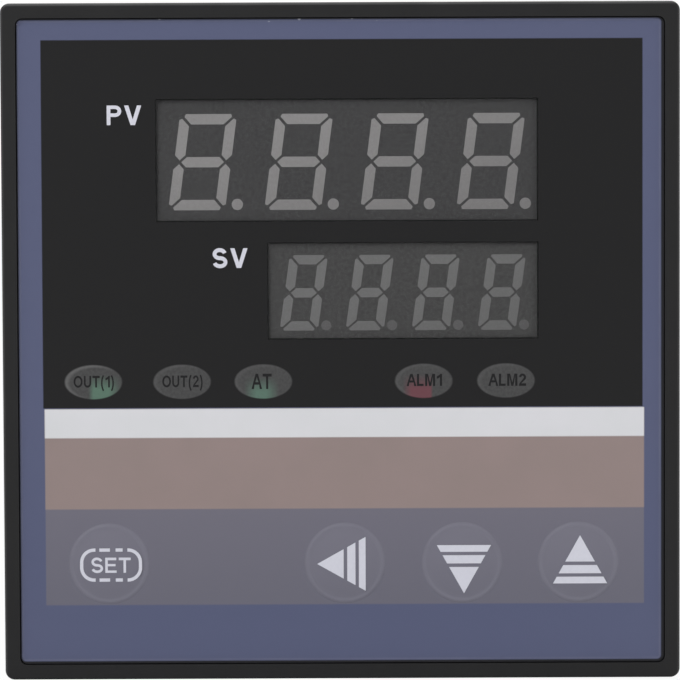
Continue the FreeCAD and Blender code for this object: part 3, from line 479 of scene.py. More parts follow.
crystal_can = Finish("drawn nickel can")
draw_marks = crystal_can.noise(0.3, 3.0, (0.1, 1.0, 1.0))
crystal_can.surface(
    Base_Color=crystal_can.mixed(draw_marks, paint(186, 184, 178), paint(212, 210, 204)),
    Metallic=1.0, Roughness=draw_marks * 0.2 + 0.2)
crystal_can.relief(draw_marks, 0.01, 0.4)
crystal_can.on("clock_crystal")

relay_case = Finish("blue relay case")
haze = relay_case.noise(3.0)
relay_case.surface(
    Base_Color=relay_case.mixed(haze, paint(24, 58, 120), paint(30, 70, 138)), Roughness=haze * 0.15 + 0.3)
relay_case.relief(relay_case.noise(0.2), 0.012, 0.5)
relay_case.on("output_relay", "alarm_relay")

laminations = Finish("laminated core steel")
plates = laminations.x.waves(12.56)
rust = laminations.noise(2.0, 4.0)
laminations.surface(
    Base_Color=laminations.mixed(rust, paint(92, 90, 88), paint(128, 124, 120)),
    Metallic=0.7, Roughness=plates * 0.2 + 0.35)
laminations.relief(plates, 0.06, 0.8)
laminations.on("transformer_core")

winding_tape = Finish("yellow winding tape")
turns = winding_tape.y.repeated(6.0).size().past(2.8, 0.15)
crease = winding_tape.noise(1.5, 3.0, (1.0, 0.3, 1.0))
winding_tape.surface(
    Base_Color=winding_tape.mixed(turns, paint(214, 178, 64), paint(176, 138, 40)),
    Roughness=crease * 0.2 + 0.25)
winding_tape.relief(crease * 0.5 + turns * 0.5, 0.05, 0.6)
winding_tape.on("transformer_winding")

capacitor_sleeve = Finish("capacitor sleeve")
wrinkle = capacitor_sleeve.noise(1.6, 3.0)
capacitor_sleeve.surface(
    Base_Color=capacitor_sleeve.mixed(wrinkle, paint(26, 30, 58), paint(34, 40, 74)),
    Roughness=wrinkle * 0.15 + 0.22)
capacitor_sleeve.relief(wrinkle, 0.03, 0.4)
capacitor_sleeve.on("smoothing_capacitor", "output_capacitor")


# ------------------------------------------------------------ legs, joints and chips
# The chips' tinned legs, a solder joint behind each lead, small surface-mounted parts
# beside the microcontroller and four banded resistors on the power board.
CONTROL_FACE = -21.2
POWER_FACE = 21.2
OUTER_FACE = 22.8
DISPLAY_BACK = 1.0
DIP_PLACES = (-3.81, -1.27, 1.27, 3.81)

# Places on the boards, as (Y, Z).
MICROCONTROLLER = (32.3, 6.0)
DIP_CHIPS = ((50.3, -10.0), (62.0, 8.0))
CRYSTAL = (28.3, -9.0)
TRANSFORMER = (30.3, -4.0)
SMOOTHING_CAPACITOR = (13.3, 16.0)
OUTPUT_CAPACITOR = (26.3, 18.5)
REGULATOR = (12.3, -20.0)
RELAYS = ((70.0, 11.0), (70.0, -8.0))
RELAY_PINS = ((-7.6, 0), (-5.6, 6), (-5.6, -6), (6.6, 6), (6.6, -6))
RESISTOR_Z = 12.0
RESISTORS = [(y, RESISTOR_Z) for y in (47.5, 51.0, 54.5, 58.0)]

solder = Finish("solder")
dross = solder.noise(0.4, 3.0)
solder.surface(
    Base_Color=solder.mixed(dross, paint(176, 178, 180), paint(206, 207, 208)),
    Metallic=1.0, Roughness=dross * 0.25 + 0.2)
solder.relief(dross, 0.02, 0.4)


def leg(outline, wide, turn, y, z):
    """A bent strip leg: its outline is (up from the board, outwards)."""
    shape = bmesh.new()
    shape.faces.new([shape.verts.new((up, out, -wide / 2)) for up, out in outline])
    thicken(shape, (0, 0, wide))
    bmesh.ops.rotate(shape, verts=shape.verts, matrix=Matrix.Rotation(math.radians(turn), 3, "X"))
    bmesh.ops.translate(shape, verts=shape.verts, vec=(CONTROL_FACE, y, z))
    bmesh.ops.recalc_face_normals(shape, faces=shape.faces)
    return shape


GULL_WING = (
    (1.2, -0.1), (1.2, 0.35), (0.15, 0.6), (0.15, 1.2), (0.0, 1.2), (0.0, 0.5), (1.05, 0.25), (1.05, -0.1))
DIP_LEG = ((1.75, -0.1), (1.75, 0.73), (0.0, 0.73), (0.0, 0.48), (1.5, 0.48), (1.5, -0.1))
legs = []
for turn in (0, 90, 180, 270):
    for place in range(-5, 6):
        foot = Vector(MICROCONTROLLER) + Matrix.Rotation(math.radians(turn), 2) @ Vector((7.0, place))
        legs.append(leg(GULL_WING, 0.4, turn, *foot))
for chip_y, chip_z in DIP_CHIPS:
    for off in DIP_PLACES:
        for side, turn in ((1, 90), (-1, 270)):
            legs.append(leg(DIP_LEG, 0.9, turn, chip_y + off, chip_z + 3.2 * side))
place_piece("chip_legs", gather(legs), solder, "chassis")


def leads_at(centre, offsets):
    """Places of a component's leads about its centre."""
    return [(centre[0] + along, centre[1] + up) for along, up in offsets]


def middle_of(node):
    """The middle of a solid's box as (X, Z), in mm."""
    low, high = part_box(node)
    return ((low[0] + high[0]) / 2 / MM, (low[2] + high[2]) / 2 / MM)


def draw_out(shape, tip, ahead):
    """Extrudes the tip face of a wire or joint along a vector, and gives the new tip."""
    grown = bmesh.ops.extrude_face_region(shape, geom=tip)
    tip = [f for f in grown["geom"] if isinstance(f, bmesh.types.BMFace)]
    bmesh.ops.translate(shape, verts=tip[0].verts[:], vec=ahead)
    return tip


header_row = [(2.25, PIN_PITCH * place) for place in range(-5, 6)]
control_leads = header_row + leads_at(CRYSTAL, ((-2.44, 0), (2.44, 0)))
for chip in DIP_CHIPS:
    control_leads += leads_at(chip, [(off, row) for off in DIP_PLACES for row in (-3.81, 3.81)])
power_leads = header_row + leads_at(TRANSFORMER, [(off, row) for off in (-7.6, 7.6) for row in (-8, 0, 8)])
power_leads += leads_at(SMOOTHING_CAPACITOR, ((-2.5, 0), (2.5, 0)))
power_leads += leads_at(OUTPUT_CAPACITOR, ((-1.75, 0), (1.75, 0)))
power_leads += leads_at(REGULATOR, ((0, -PIN_PITCH), (0, 0), (0, PIN_PITCH)))
for relay in RELAYS:
    power_leads += leads_at(relay, RELAY_PINS)
for resistor in RESISTORS:
    power_leads += leads_at(resistor, ((0, -5.08), (0, 5.08)))

PIN_PLACES = [PIN_PITCH * place for place in (-2.5, -1.5, -0.5, 0.5, 1.5, 2.5)]
KEYS = ("set", "shift", "down", "up")
display_leads = leads_at((0.66, 19.3), [(off, row) for off in PIN_PLACES for row in (-5, 5)])
display_leads += leads_at((6.57, 5.4), [(off, row) for off in PIN_PLACES for row in (-4, 4)])
for lamp in ("output_lamp", "tuning_lamp", "alarm_lamp"):
    display_leads += leads_at(middle_of(lamp), ((-1.27, 0), (1.27, 0)))
switch_pins = [(off, row) for off in (-2.6, 2.6) for row in (-2.25, 2.25)]
for key in KEYS:
    display_leads += leads_at(middle_of(f"{key}_switch"), switch_pins)

joints = []
for leads, turn, seat in (
        (control_leads, Matrix.Rotation(math.radians(-90), 3, "Y"), lambda y, z: (-OUTER_FACE, y, z)),
        (power_leads, Matrix.Rotation(math.radians(90), 3, "Y"), lambda y, z: (OUTER_FACE, y, z)),
        (display_leads, Matrix.Rotation(math.radians(-90), 3, "X"), lambda x, z: (x, DISPLAY_BACK, z))):
    for lead in leads:
        joint = bmesh.new()
        bmesh.ops.create_circle(joint, cap_ends=True, segments=12, radius=0.8)
        tip = draw_out(joint, joint.faces[:], (0, 0, 0.1))
        for thickness, rise in ((0.32, 0.25), (0.2, 0.35)):
            bmesh.ops.inset_region(joint, faces=tip, thickness=thickness, depth=rise)
        bmesh.ops.recalc_face_normals(joint, faces=joint.faces)
        bmesh.ops.rotate(joint, verts=joint.verts, matrix=turn)
        bmesh.ops.translate(joint, verts=joint.verts, vec=seat(*lead))
        joints.append(joint)
place_piece("solder_joints", gather(joints), solder, "chassis", 50)


def block(long, wide, high, y, z):
    """A small part on the control board, with softened edges."""
    shape = bmesh.new()
    bmesh.ops.create_cube(shape, size=1.0)
    bmesh.ops.scale(shape, verts=shape.verts, vec=(high, long, wide))
    bmesh.ops.bevel(
        shape, geom=shape.edges[:], affect="EDGES", offset=0.06, segments=2, profile=0.5, material=-1)
    bmesh.ops.translate(shape, verts=shape.verts, vec=(CONTROL_FACE + high / 2, y, z))
    return shape


chip_ceramic = Finish("surface-mounted part ceramic")
kind = chip_ceramic.node("ShaderNodeSeparateColor", {}, {0: chip_ceramic.cells(3.0, "Color")})
fired = chip_ceramic.noise(0.3, 2.0)
chip_ceramic.surface(
    Base_Color=chip_ceramic.mixed(kind.past(0.5, 0.01), paint(34, 34, 36), paint(146, 118, 90)),
    Roughness=fired * 0.2 + 0.35)
chip_ceramic.relief(fired, 0.01, 0.4)

# Rows of small parts: their places along Y and along Z, and how they are turned.
UPRIGHT, LYING = True, False
PART_ROWS = (
    ((20.0,), (14.5, 11.5, 8.5, 3.0, 0.0), LYING),
    ((44.0,), (10.0, 5.5, 1.0), UPRIGHT),
    ((27.0, 30.5, 34.0, 38.0), (17.0,), UPRIGHT),
    ((56.0, 60.0), (16.0, 19.0), LYING),
    ((66.0,), (16.0,), LYING),
    ((38.0,), (-6.5, -9.5), LYING),
    ((62.0, 65.0, 68.0), (-4.0,), UPRIGHT),
    ((15.0,), (-18.0, -21.0), LYING))
bodies, ends = [], []
for places_y, places_z, upright in PART_ROWS:
    for y in places_y:
        for z in places_z:
            bodies.append(block(1.2, 1.3, 0.5, y, z) if upright else block(1.3, 1.2, 0.5, y, z))
            for off in (-0.8, 0.8):
                ends.append(
                    block(1.25, 0.4, 0.55, y, z + off) if upright else block(0.4, 1.25, 0.55, y + off, z))
place_piece("surface_mounted_parts", gather(bodies), chip_ceramic, "chassis")
place_piece("surface_mounted_ends", gather(ends), solder, "chassis")

lacquer = Finish("resistor lacquer")
from_middle = lacquer.z - RESISTOR_Z
speckle = lacquer.noise(0.3, 2.0)
bands = lacquer.mixed(speckle, paint(196, 172, 128), paint(210, 188, 146))
for band_z, band_paint in (
        (-2.2, paint(112, 62, 34)), (-1.2, paint(26, 24, 24)),
        (-0.2, paint(172, 40, 34)), (1.8, paint(168, 132, 52))):
    bands = lacquer.mixed(from_middle.between(band_z - 0.25, band_z + 0.25, 0.05), bands, band_paint)
lacquer.surface(Base_Color=bands, Roughness=speckle * 0.12 + 0.25)
lacquer.relief(speckle, 0.015, 0.4)

# The barrel's outline, as (radius, along).
BARREL = (
    (0.35, -3.2), (0.95, -3.1), (1.2, -2.7), (1.2, -2.0), (0.98, -1.6),
    (0.98, 1.6), (1.2, 2.0), (1.2, 2.7), (0.95, 3.1), (0.35, 3.2))
STAND_OFF = 1.4
resistors, wires = [], []
for y, z in RESISTORS:
    barrel = bmesh.new()
    rounds = [barrel.verts.new((radius, 0, along)) for radius, along in BARREL]
    profile = [barrel.edges.new(pair) for pair in zip(rounds, rounds[1:])]
    bmesh.ops.spin(
        barrel, geom=rounds + profile, cent=(0, 0, 0), axis=(0, 0, 1),
        angle=math.tau, steps=20, use_merge=True)
    bmesh.ops.holes_fill(barrel, edges=[e for e in barrel.edges if e.is_boundary])
    bmesh.ops.recalc_face_normals(barrel, faces=barrel.faces)
    bmesh.ops.translate(barrel, verts=barrel.verts, vec=(POWER_FACE - STAND_OFF, y, z))
    resistors.append(barrel)
    for side in (-1, 1):
        wire = bmesh.new()
        bmesh.ops.create_circle(wire, cap_ends=True, segments=10, radius=0.3)
        tip = draw_out(wire, wire.faces[:], (0, 0, 1.4))
        bent = bmesh.ops.spin(
            wire, geom=tip, cent=(0.5, 0, 1.4), axis=(0, 1, 0), angle=math.radians(90), steps=5)
        tip = [f for f in bent["geom_last"] if isinstance(f, bmesh.types.BMFace)]
        draw_out(wire, tip, (1.0, 0, 0))
        bmesh.ops.scale(wire, verts=wire.verts, vec=(1, 1, side))
        bmesh.ops.translate(wire, verts=wire.verts, vec=(POWER_FACE - STAND_OFF, y, z + 3.18 * side))
        bmesh.ops.recalc_face_normals(wire, faces=wire.faces)
        wires.append(wire)
place_piece("resistors", gather(resistors), lacquer, "chassis", 40)
place_piece("resistor_wires", gather(wires), solder, "chassis", 40)


# ------------------------------------------------------- display modules and lamps
# Each module is a grey-black potted case with milky light guides that fill slots in
# its face, unlit.  The lamps are small round diodes in tinted resin.
BETWEEN_DISPLAYS = 11.5
DIGIT_PITCH = 7.02
POINT_X = 12.45

module_case = Finish("display module case")
dust = module_case.noise(0.35, 3.0)
in_upper_case = module_case.z.past(BETWEEN_DISPLAYS, 0.5)
module_case.surface(
    Base_Color=module_case.mixed(
        in_upper_case, module_case.mixed(dust, paint(44, 44, 44), paint(98, 98, 98)),
        module_case.mixed(dust, paint(36, 36, 37), paint(92, 92, 93))),
    Roughness=dust * 0.2 + 0.5)
module_case.relief(dust, 0.01, 0.4)
module_case.on("pv_display_case", "sv_display_case")

guide_resin = Finish("milky light guide resin")
shade = paint(80, 80, 80)
milk = guide_resin.noise(0.35, 3.0)
in_upper = guide_resin.z.past(BETWEEN_DISPLAYS, 0.5)
# Painted shade: each display's guides are mixed up to 30 % toward the shade grey towards its lower right. The
# lower display's decimal points are mixed halfway to the same grey.
painted_shade_low_right = (guide_resin.x / 40 - guide_resin.z / 14 + in_upper * 1.3 + 0.45).clamped()
from_point = (guide_resin.x - POINT_X).repeated(DIGIT_PITCH).size()
point = (1 - guide_resin.z.past(2.35, 0.1)) * (1 - from_point.past(0.62, 0.05))
small = guide_resin.mixed(milk, paint(124, 124, 124), paint(141, 141, 141))
small = guide_resin.mixed(point * 0.5, small, shade)
large = guide_resin.mixed(milk, paint(159, 157, 157), paint(180, 178, 178))
guide_resin.surface(
    Base_Color=guide_resin.mixed(painted_shade_low_right * 0.3, guide_resin.mixed(in_upper, small, large), shade),
    Roughness=milk * 0.1 + 0.35, Subsurface_Weight=0.1, Subsurface_Radius=(0.0006, 0.0006, 0.0006))
guide_resin.relief(guide_resin.noise(0.4), 0.006, 0.3)
guide_resin.on("pv_display_segments", "sv_display_segments")

for name, deep, pale, lamps in (
        ("green lamp resin", paint(52, 150, 92), paint(70, 170, 108), ("output_lamp", "tuning_lamp")),
        ("red lamp resin", paint(176, 34, 36), paint(196, 48, 48), ("alarm_lamp",))):
    lamp_resin = Finish(name)
    swirl = lamp_resin.noise(1.0)
    lamp_resin.surface(
        Base_Color=lamp_resin.mixed(swirl, deep, pale), Roughness=swirl * 0.1 + 0.12, Transmission_Weight=0.4)
    lamp_resin.relief(swirl, 0.01, 0.3)
    lamp_resin.on(*lamps)


# ----------------------------------------------------------- keys behind the film
# White ABS caps press small black switches on the display board.
key_plastic = Finish("key cap plastic")
veil = key_plastic.noise(1.5)
key_plastic.surface(
    Base_Color=key_plastic.mixed(veil, paint(196, 196, 192), paint(210, 210, 206)),
    Roughness=veil * 0.15 + 0.4)
key_plastic.relief(key_plastic.noise(0.25), 0.01, 0.4)
key_plastic.on(*(f"{key}_key_cap" for key in KEYS))

switch_black = Finish("switch body plastic")
speck = switch_black.noise(0.6)
switch_black.surface(
    Base_Color=switch_black.mixed(speck, paint(28, 28, 29), paint(38, 38, 39)), Roughness=speck * 0.2 + 0.35)
switch_black.relief(speck, 0.01, 0.4)
switch_black.on(*(f"{key}_switch" for key in KEYS), *(f"{key}_key_plunger" for key in KEYS))


# -------------------------------------------------------------------- front plate
# The black moulding that carries the film, with windows for the displays and wells
# for the lamps.
front_black = Finish("front plate ABS")
grain = front_black.noise(0.14, 3.0)
front_black.surface(
    Base_Color=front_black.mixed(front_black.noise(6.0), paint(26, 26, 28), paint(32, 32, 34)),
    Roughness=grain * 0.15 + 0.42)
front_black.relief(grain, 0.012, 0.6)
front_black.on("front_plate")


# --------------------------------------------------------------------- front film
# Polyester sheet printed on its back in black, white, brown and grey over a blue
# ground, with smoked windows and grey ovals over the lamps, and stuck to the plate.
KEY_X = {"set": -24.83, "shift": 0.31, "down": 12.82, "up": 25.19}
KEY_Z = -23.64
KEY_RADIUS = 8.65 / 2
FILM_SIDE = 68.64
FILM_CORNER = 0.65
FILM_FACE = -8.1
FILM_BACK = -7.8
PRINT_X, PRINT_Z = -0.11, 0.07
PRINT_HALF = 34.19
PRINT_CORNER = 0.5
GREY_FOOT, BROWN_FOOT, WHITE_FOOT, WHITE_TOP = -28.06, -17.8, -10.18, -7.1
LAMP_OVALS = (-26.40, -16.96, -8.31, 8.76, 17.51)
OVAL_Z = -4.2
PV_WINDOW = (-19.58, 20.92, 12.85, 25.78)
SV_WINDOW = (-7.77, 20.94, 0.31, 10.52)

film_print = Finish("printed film")
x, z = film_print.x, film_print.z
mottle = film_print.noise(5.0, 2.0)


def oval(centre_x, centre_z, half_width, half_height, softness):
    """1 within an oval and 0 outside it."""
    across = (x - centre_x) / half_width
    up = (z - centre_z) / half_height
    return 1 - ((across * across + up * up) ** 0.5).past(1.0, softness)


def oblong(left, right, low, high, softness):
    """1 within an upright oblong and 0 outside it."""
    return x.between(left, right, softness) * z.between(low, high, softness)


# The blue ground ends in a dark band at the film's cut edge, painted shadow that widens the shaded gap to the
# rim, with a painted highlight line and a few pale flecks beside it.
beyond_x = (x - PRINT_X).size().over(PRINT_HALF - PRINT_CORNER)
beyond_z = (z - PRINT_Z).size().over(PRINT_HALF - PRINT_CORNER)
from_edge = PRINT_CORNER - (beyond_x * beyond_x + beyond_z * beyond_z) ** 0.5
blue = film_print.mixed(z.past(-29.5, 3.0), paint(84, 89, 116), paint(83, 88, 115))
# Painted shadow: dark where the print stops short of the film's edge.
colour = film_print.mixed(from_edge.past(0.05, 0.1), paint(33, 33, 37), blue)
# Painted highlight: a paler line just inside the print's edge, in patches.
painted_film_edge_highlight = from_edge.between(0.1, 0.3, 0.1) * mottle * 0.2
colour = film_print.mixed(painted_film_edge_highlight, colour, paint(150, 150, 165))
flecks = (1 - film_print.cells(1.3).past(0.12, 0.06)) * from_edge.between(0.0, 0.3, 0.1) * z.past(33.4, 0.4)
colour = film_print.mixed(flecks * 0.7, colour, paint(196, 198, 204))

# Grey, brown and white bands, each printed over the one before, then the black field.
key_tops = sum(oval(key_x, KEY_Z, 4.1, 4.1, 0.1) for key_x in KEY_X.values())
key_rings = sum(
    oval(key_x, KEY_Z, 4.3, 4.3, 0.06) - oval(key_x, KEY_Z, 3.85, 3.85, 0.1) for key_x in KEY_X.values())
grey = film_print.mixed(z.past(-22.5, 9.0), paint(102, 101, 113), paint(107, 105, 117))
grey = film_print.mixed(key_tops * 0.1 + key_rings * mottle * 0.16, grey, paint(150, 150, 162))
brown = film_print.mixed(mottle, paint(137, 123, 120), paint(145, 128, 126))
white = film_print.mixed(mottle, paint(202, 204, 206), paint(211, 210, 215))
for ink, foot in ((grey, GREY_FOOT), (brown, BROWN_FOOT), (white, WHITE_FOOT)):
    colour = film_print.mixed(oblong(-31.6, 32.2, foot, WHITE_TOP, 0.12), colour, ink)
colour = film_print.mixed(oblong(-31.75, 32.05, -7.0, 32.1, 0.1), colour, paint(22, 22, 23))

# Smoky ovals, tinted from below by the lamps behind three of them, each with a painted highlight: a pale
# crescent along its upper left edge, strongest on the first oval.
cloud = film_print.noise(0.3, 3.0)
lens = film_print.mixed(cloud, paint(52, 52, 53), paint(79, 79, 79))
for tint, left, left_fade, right, right_fade, top in (
        (paint(84, 110, 96), -26.65, 0.5, -24.1, 1.3, -4.2),
        (paint(84, 109, 97), -9.7, 1.3, -7.3, 1.3, -4.5),
        (paint(101, 62, 69), 7.0, 0.9, 9.6, 0.25, -4.3)):
    glow = x.past(left, left_fade) * (1 - x.past(right, right_fade)) * (1 - z.past(top, 1.5))
    lens = film_print.mixed(glow * (cloud * 0.6 + 0.7).clamped(), lens, tint)
for oval_x in LAMP_OVALS:
    colour = film_print.mixed(oval(oval_x, OVAL_Z, 3.05, 1.825, 0.06), colour, lens)
    # Painted highlight: a pale crescent inside the oval's upper left edge.
    inner = oval(oval_x + 0.16, OVAL_Z - 0.08, 2.8, 1.65, 0.12)
    upper_left = (OVAL_Z - z + x - oval_x).past(0.0, 3.0)
    painted_lens_highlight = oval(oval_x, OVAL_Z, 2.98, 1.77, 0.06) * (1 - inner) * (1 - upper_left)
    lens_highlight_strength = 0.3 if oval_x == LAMP_OVALS[0] else 0.08
    colour = film_print.mixed(painted_lens_highlight * lens_highlight_strength, colour, paint(128, 128, 128))

windows = oblong(*PV_WINDOW, 0.2) + oblong(*SV_WINDOW, 0.2)
weft = film_print.noise(0.22, 2.0)
film_print.surface(
    Base_Color=colour, Alpha=1 - windows * 0.86, Roughness=weft * 0.12 + 0.42, Specular_IOR_Level=0.22)
film_print.relief(weft, 0.006, 0.5)

film = bmesh.new()
bmesh.ops.create_grid(film, x_segments=1, y_segments=1, size=FILM_SIDE / 2)
bmesh.ops.bevel(
    film, geom=film.verts[:], affect="VERTICES", offset=FILM_CORNER, segments=8, profile=0.5, material=-1)
bmesh.ops.delete(film, geom=film.faces[:], context="FACES_ONLY")
for key_x in KEY_X.values():
    hole = Matrix.Translation((key_x, KEY_Z, 0))
    bmesh.ops.create_circle(film, segments=96, radius=KEY_RADIUS, matrix=hole)
bmesh.ops.triangle_fill(film, use_beauty=True, edges=film.edges[:], normal=(0, 0, 1))
thicken(film, (0, 0, FILM_BACK - FILM_FACE))
bmesh.ops.rotate(film, verts=film.verts, matrix=STANDING)
bmesh.ops.translate(film, verts=film.verts, vec=(0, FILM_BACK, 0))
bmesh.ops.recalc_face_normals(film, faces=film.faces)
film_sheet = place_piece("film_sheet", film, film_print, "chassis")
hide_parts("front_film")


# --------------------------------------------------------------------- key domes
# The film is heat-formed over each key: a fine raised ring, a shallow slope inside it
# and a flat top.
DOME_STEPS = ((0.2, 0.08), (0.12, 0.02), (0.12, -0.01), (0.2, -0.03), (0.42, 0.14))
DOME_HEIGHT = sum(rise for width, rise in DOME_STEPS)
DOME_HOLLOW = ((0.35, 0.15), (0.5, 0.18))


def give_way(piece):
    """Gives a piece of the film on a key's top its own copy of its mesh."""
    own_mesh(piece)


for key, key_x in KEY_X.items():
    dome = bmesh.new()
    bmesh.ops.create_circle(dome, cap_ends=True, segments=96, radius=KEY_RADIUS)
    thicken(dome, (0, 0, FILM_BACK - FILM_FACE))
    bmesh.ops.recalc_face_normals(dome, faces=dome.faces)
    front = max(dome.faces, key=lambda face: face.calc_center_median().z)
    back = min(dome.faces, key=lambda face: face.calc_center_median().z)
    for width, rise in DOME_STEPS:
        bmesh.ops.inset_region(dome, faces=[front], thickness=width, depth=rise)
    for width, rise in DOME_HOLLOW:
        bmesh.ops.inset_region(dome, faces=[back], thickness=width, depth=-rise)
    bmesh.ops.rotate(dome, verts=dome.verts, matrix=STANDING)
    bmesh.ops.translate(dome, verts=dome.verts, vec=(key_x, FILM_BACK, KEY_Z))
    give_way(place_piece(f"{key}_key_dome", dome, film_print, "chassis", 34))


# ------------------------------------------------------------- legends and marks
# Screen-printed inks in plain upright letters of even stroke: pale ones on the keys
# and beside the displays, dark ones on the lamp ovals.
INK = 0.012
pale_ink = Finish("pale legend ink")
ink_grain = pale_ink.noise(0.3, 2.0)
pale_ink.surface(
    Base_Color=pale_ink.mixed(ink_grain, paint(196, 197, 208), paint(206, 206, 216)),
    Roughness=ink_grain * 0.1 + 0.45)
pale_ink.relief(ink_grain, 0.004, 0.4)
dark_ink = Finish("dark legend ink")
ink_grain = dark_ink.noise(0.3, 2.0)
dark_ink.surface(
    Base_Color=dark_ink.mixed(ink_grain, paint(27, 27, 28), paint(35, 35, 36)),
    Roughness=ink_grain * 0.1 + 0.5, Specular_IOR_Level=0.12)
dark_ink.relief(ink_grain, 0.004, 0.4)


def bow(centre_x, centre_y, reach_x, reach_y, start, stop):
    """Points along part of an oval, from one angle to another in degrees."""
    steps = max(4, round(abs(stop - start) / 15))
    turns = [math.radians(start + (stop - start) * step / steps) for step in range(steps + 1)]
    return [(centre_x + reach_x * math.cos(turn), centre_y + reach_y * math.sin(turn)) for turn in turns]


def ribbon(line, wide):
    """The outline of a stroke of even width along a line of points."""
    sides = ([], [])
    for place, (x, y) in enumerate(line):
        before, after = line[max(place - 1, 0)], line[min(place + 1, len(line) - 1)]
        aside = Vector((before[1] - after[1], after[0] - before[0])).normalized() * wide / 2
        sides[0].append((x + aside.x, y + aside.y))
        sides[1].append((x - aside.x, y - aside.y))
    return sides[0] + sides[1][::-1]


def letter_outlines(letter, w):
    """Outlines and holes of a letter one unit high, drawn with strokes w wide."""
    if letter == "O":
        return [bow(0.5, 0.5, 0.5, 0.51, 0, 345), bow(0.5, 0.5, 0.5 - w * 1.05, 0.51 - w * 0.9, 0, 345)]
    if letter == "U":
        return [[(0, 1), *bow(0.4, 0.36, 0.4, 0.37, 180, 360), (0.8, 1), (0.8 - w, 1),
                 *bow(0.4, 0.36, 0.4 - w, 0.37 - w * 0.9, 360, 180), (w, 1)]]
    if letter == "T":
        return [[(0, 1), (0, 1 - w), (0.4 - w / 2, 1 - w), (0.4 - w / 2, 0), (0.4 + w / 2, 0),
                 (0.4 + w / 2, 1 - w), (0.8, 1 - w), (0.8, 1)]]
    if letter == "(":
        return [ribbon(bow(0.6, 0.37, 0.52, 0.85, 129, 231), w * 0.85)]
    if letter == ")":
        return [ribbon(bow(-0.3, 0.37, 0.52, 0.85, 51, -51), w * 0.85)]
    if letter == "1":
        return [[(0.3, 0), (0.3 + w, 0), (0.3 + w, 1), (0.3 + w * 0.3, 1), (0.17, 0.86), (0, 0.79),
                 (0, 0.79 - w), (0.17, 0.86 - w * 1.05), (0.3, 0.95 - w * 1.15)]]
    if letter == "2":
        return [[*bow(0.33, 0.7, 0.32, 0.31, 175, -28), (0.2, w), (0.66, w), (0.66, 0), (-0.01, 0),
                 (0.03, w * 0.9), *bow(0.33, 0.7, 0.32 - w, 0.31 - w * 0.9, -34, 175)]]
    if letter == "A":
        slope = w * 1.12
        bar_top = 0.29 + w * 0.85
        return [[(0, 0), (0.465 - slope / 2, 1), (0.465 + slope / 2, 1), (0.93, 0), (0.93 - slope, 0),
                 (0.68, 0.29), (0.25, 0.29), (slope, 0)],
                [(0.25 + w * 0.42, bar_top), (0.68 - w * 0.42, bar_top), (0.465, 1 - w * 1.1)]]
    if letter == "L":
        return [[(0, 0), (0, 1), (w, 1), (w, w * 0.9), (0.62, w * 0.9), (0.62, 0)]]
    if letter == "M":
        return [[(0, 0), (0, 1), (w * 1.35, 1), (0.47, w * 1.3), (0.94 - w * 1.35, 1), (0.94, 1),
                 (0.94, 0), (0.94 - w, 0), (0.94 - w, 0.84), (0.47 + w * 0.5, 0), (0.47 - w * 0.5, 0),
                 (w, 0.84), (w, 0)]]
    if letter == "E":
        return [[(0, 0), (0, 1), (0.74, 1), (0.74, 1 - w), (w, 1 - w), (w, 0.5 + w * 0.5),
                 (0.69, 0.5 + w * 0.5), (0.69, 0.5 - w * 0.4), (w, 0.5 - w * 0.4), (w, w * 0.9),
                 (0.76, w * 0.9), (0.76, 0)]]
    if letter == "P":
        return [[(0, 0), (0, 1), *bow(0.46, 0.71, 0.32, 0.29, 90, -90), (w, 0.42), (w, 0)],
                [(w, 0.42 + w * 0.9), (w, 1 - w * 0.9), *bow(0.46, 0.71, 0.32 - w, 0.29 - w * 0.9, 90, -90)]]
    if letter == "V":
        return [[(0, 1), (w * 1.15, 1), (0.46, w * 1.45), (0.92 - w * 1.15, 1), (0.92, 1),
                 (0.46 + w * 0.6, 0), (0.46 - w * 0.6, 0)]]
    if letter == "S":
        return [ribbon([*bow(0.4, 0.75 - w * 0.22, 0.37 - w / 2, 0.26 - w * 0.27, 12, 262),
                        *bow(0.42, 0.25 + w * 0.22, 0.39 - w / 2, 0.26 - w * 0.27, 82, -168)], w)]


def lay_ink(name, shape, ink, key=None):
    """Gives a flat shape its ink thickness and lays it on the film or on a key's top."""
    thicken(shape, (0, 0, 2 * INK))
    bmesh.ops.rotate(shape, verts=shape.verts, matrix=STANDING)
    bmesh.ops.translate(shape, verts=shape.verts, vec=(0, FILM_FACE + INK - (DOME_HEIGHT if key else 0), 0))
    bmesh.ops.recalc_face_normals(shape, faces=shape.faces)
    piece = place_piece(name, shape, ink, "chassis")
    if key:
        give_way(piece)


def print_words(name, words, left, right, low, high, stroke, ink, key=None):
    """Prints words that fill a box on the film, or on the flat top of a key."""
    shape = bmesh.new()
    start = 0.0
    for letter in words:
        outlines = letter_outlines(letter, stroke)
        edges = []
        for outline in outlines:
            points = [shape.verts.new((start + x, y, 0)) for x, y in outline]
            edges += [shape.edges.new(pair) for pair in zip(points, points[1:] + points[:1])]
        bmesh.ops.triangle_fill(shape, use_beauty=True, edges=edges, normal=(0, 0, 1))
        start += max(x for x, y in outlines[0]) + (0.05 if letter == "A" else 0.15)
    fill_box(shape, left, right, low, high)
    lay_ink(name, shape, ink, key)


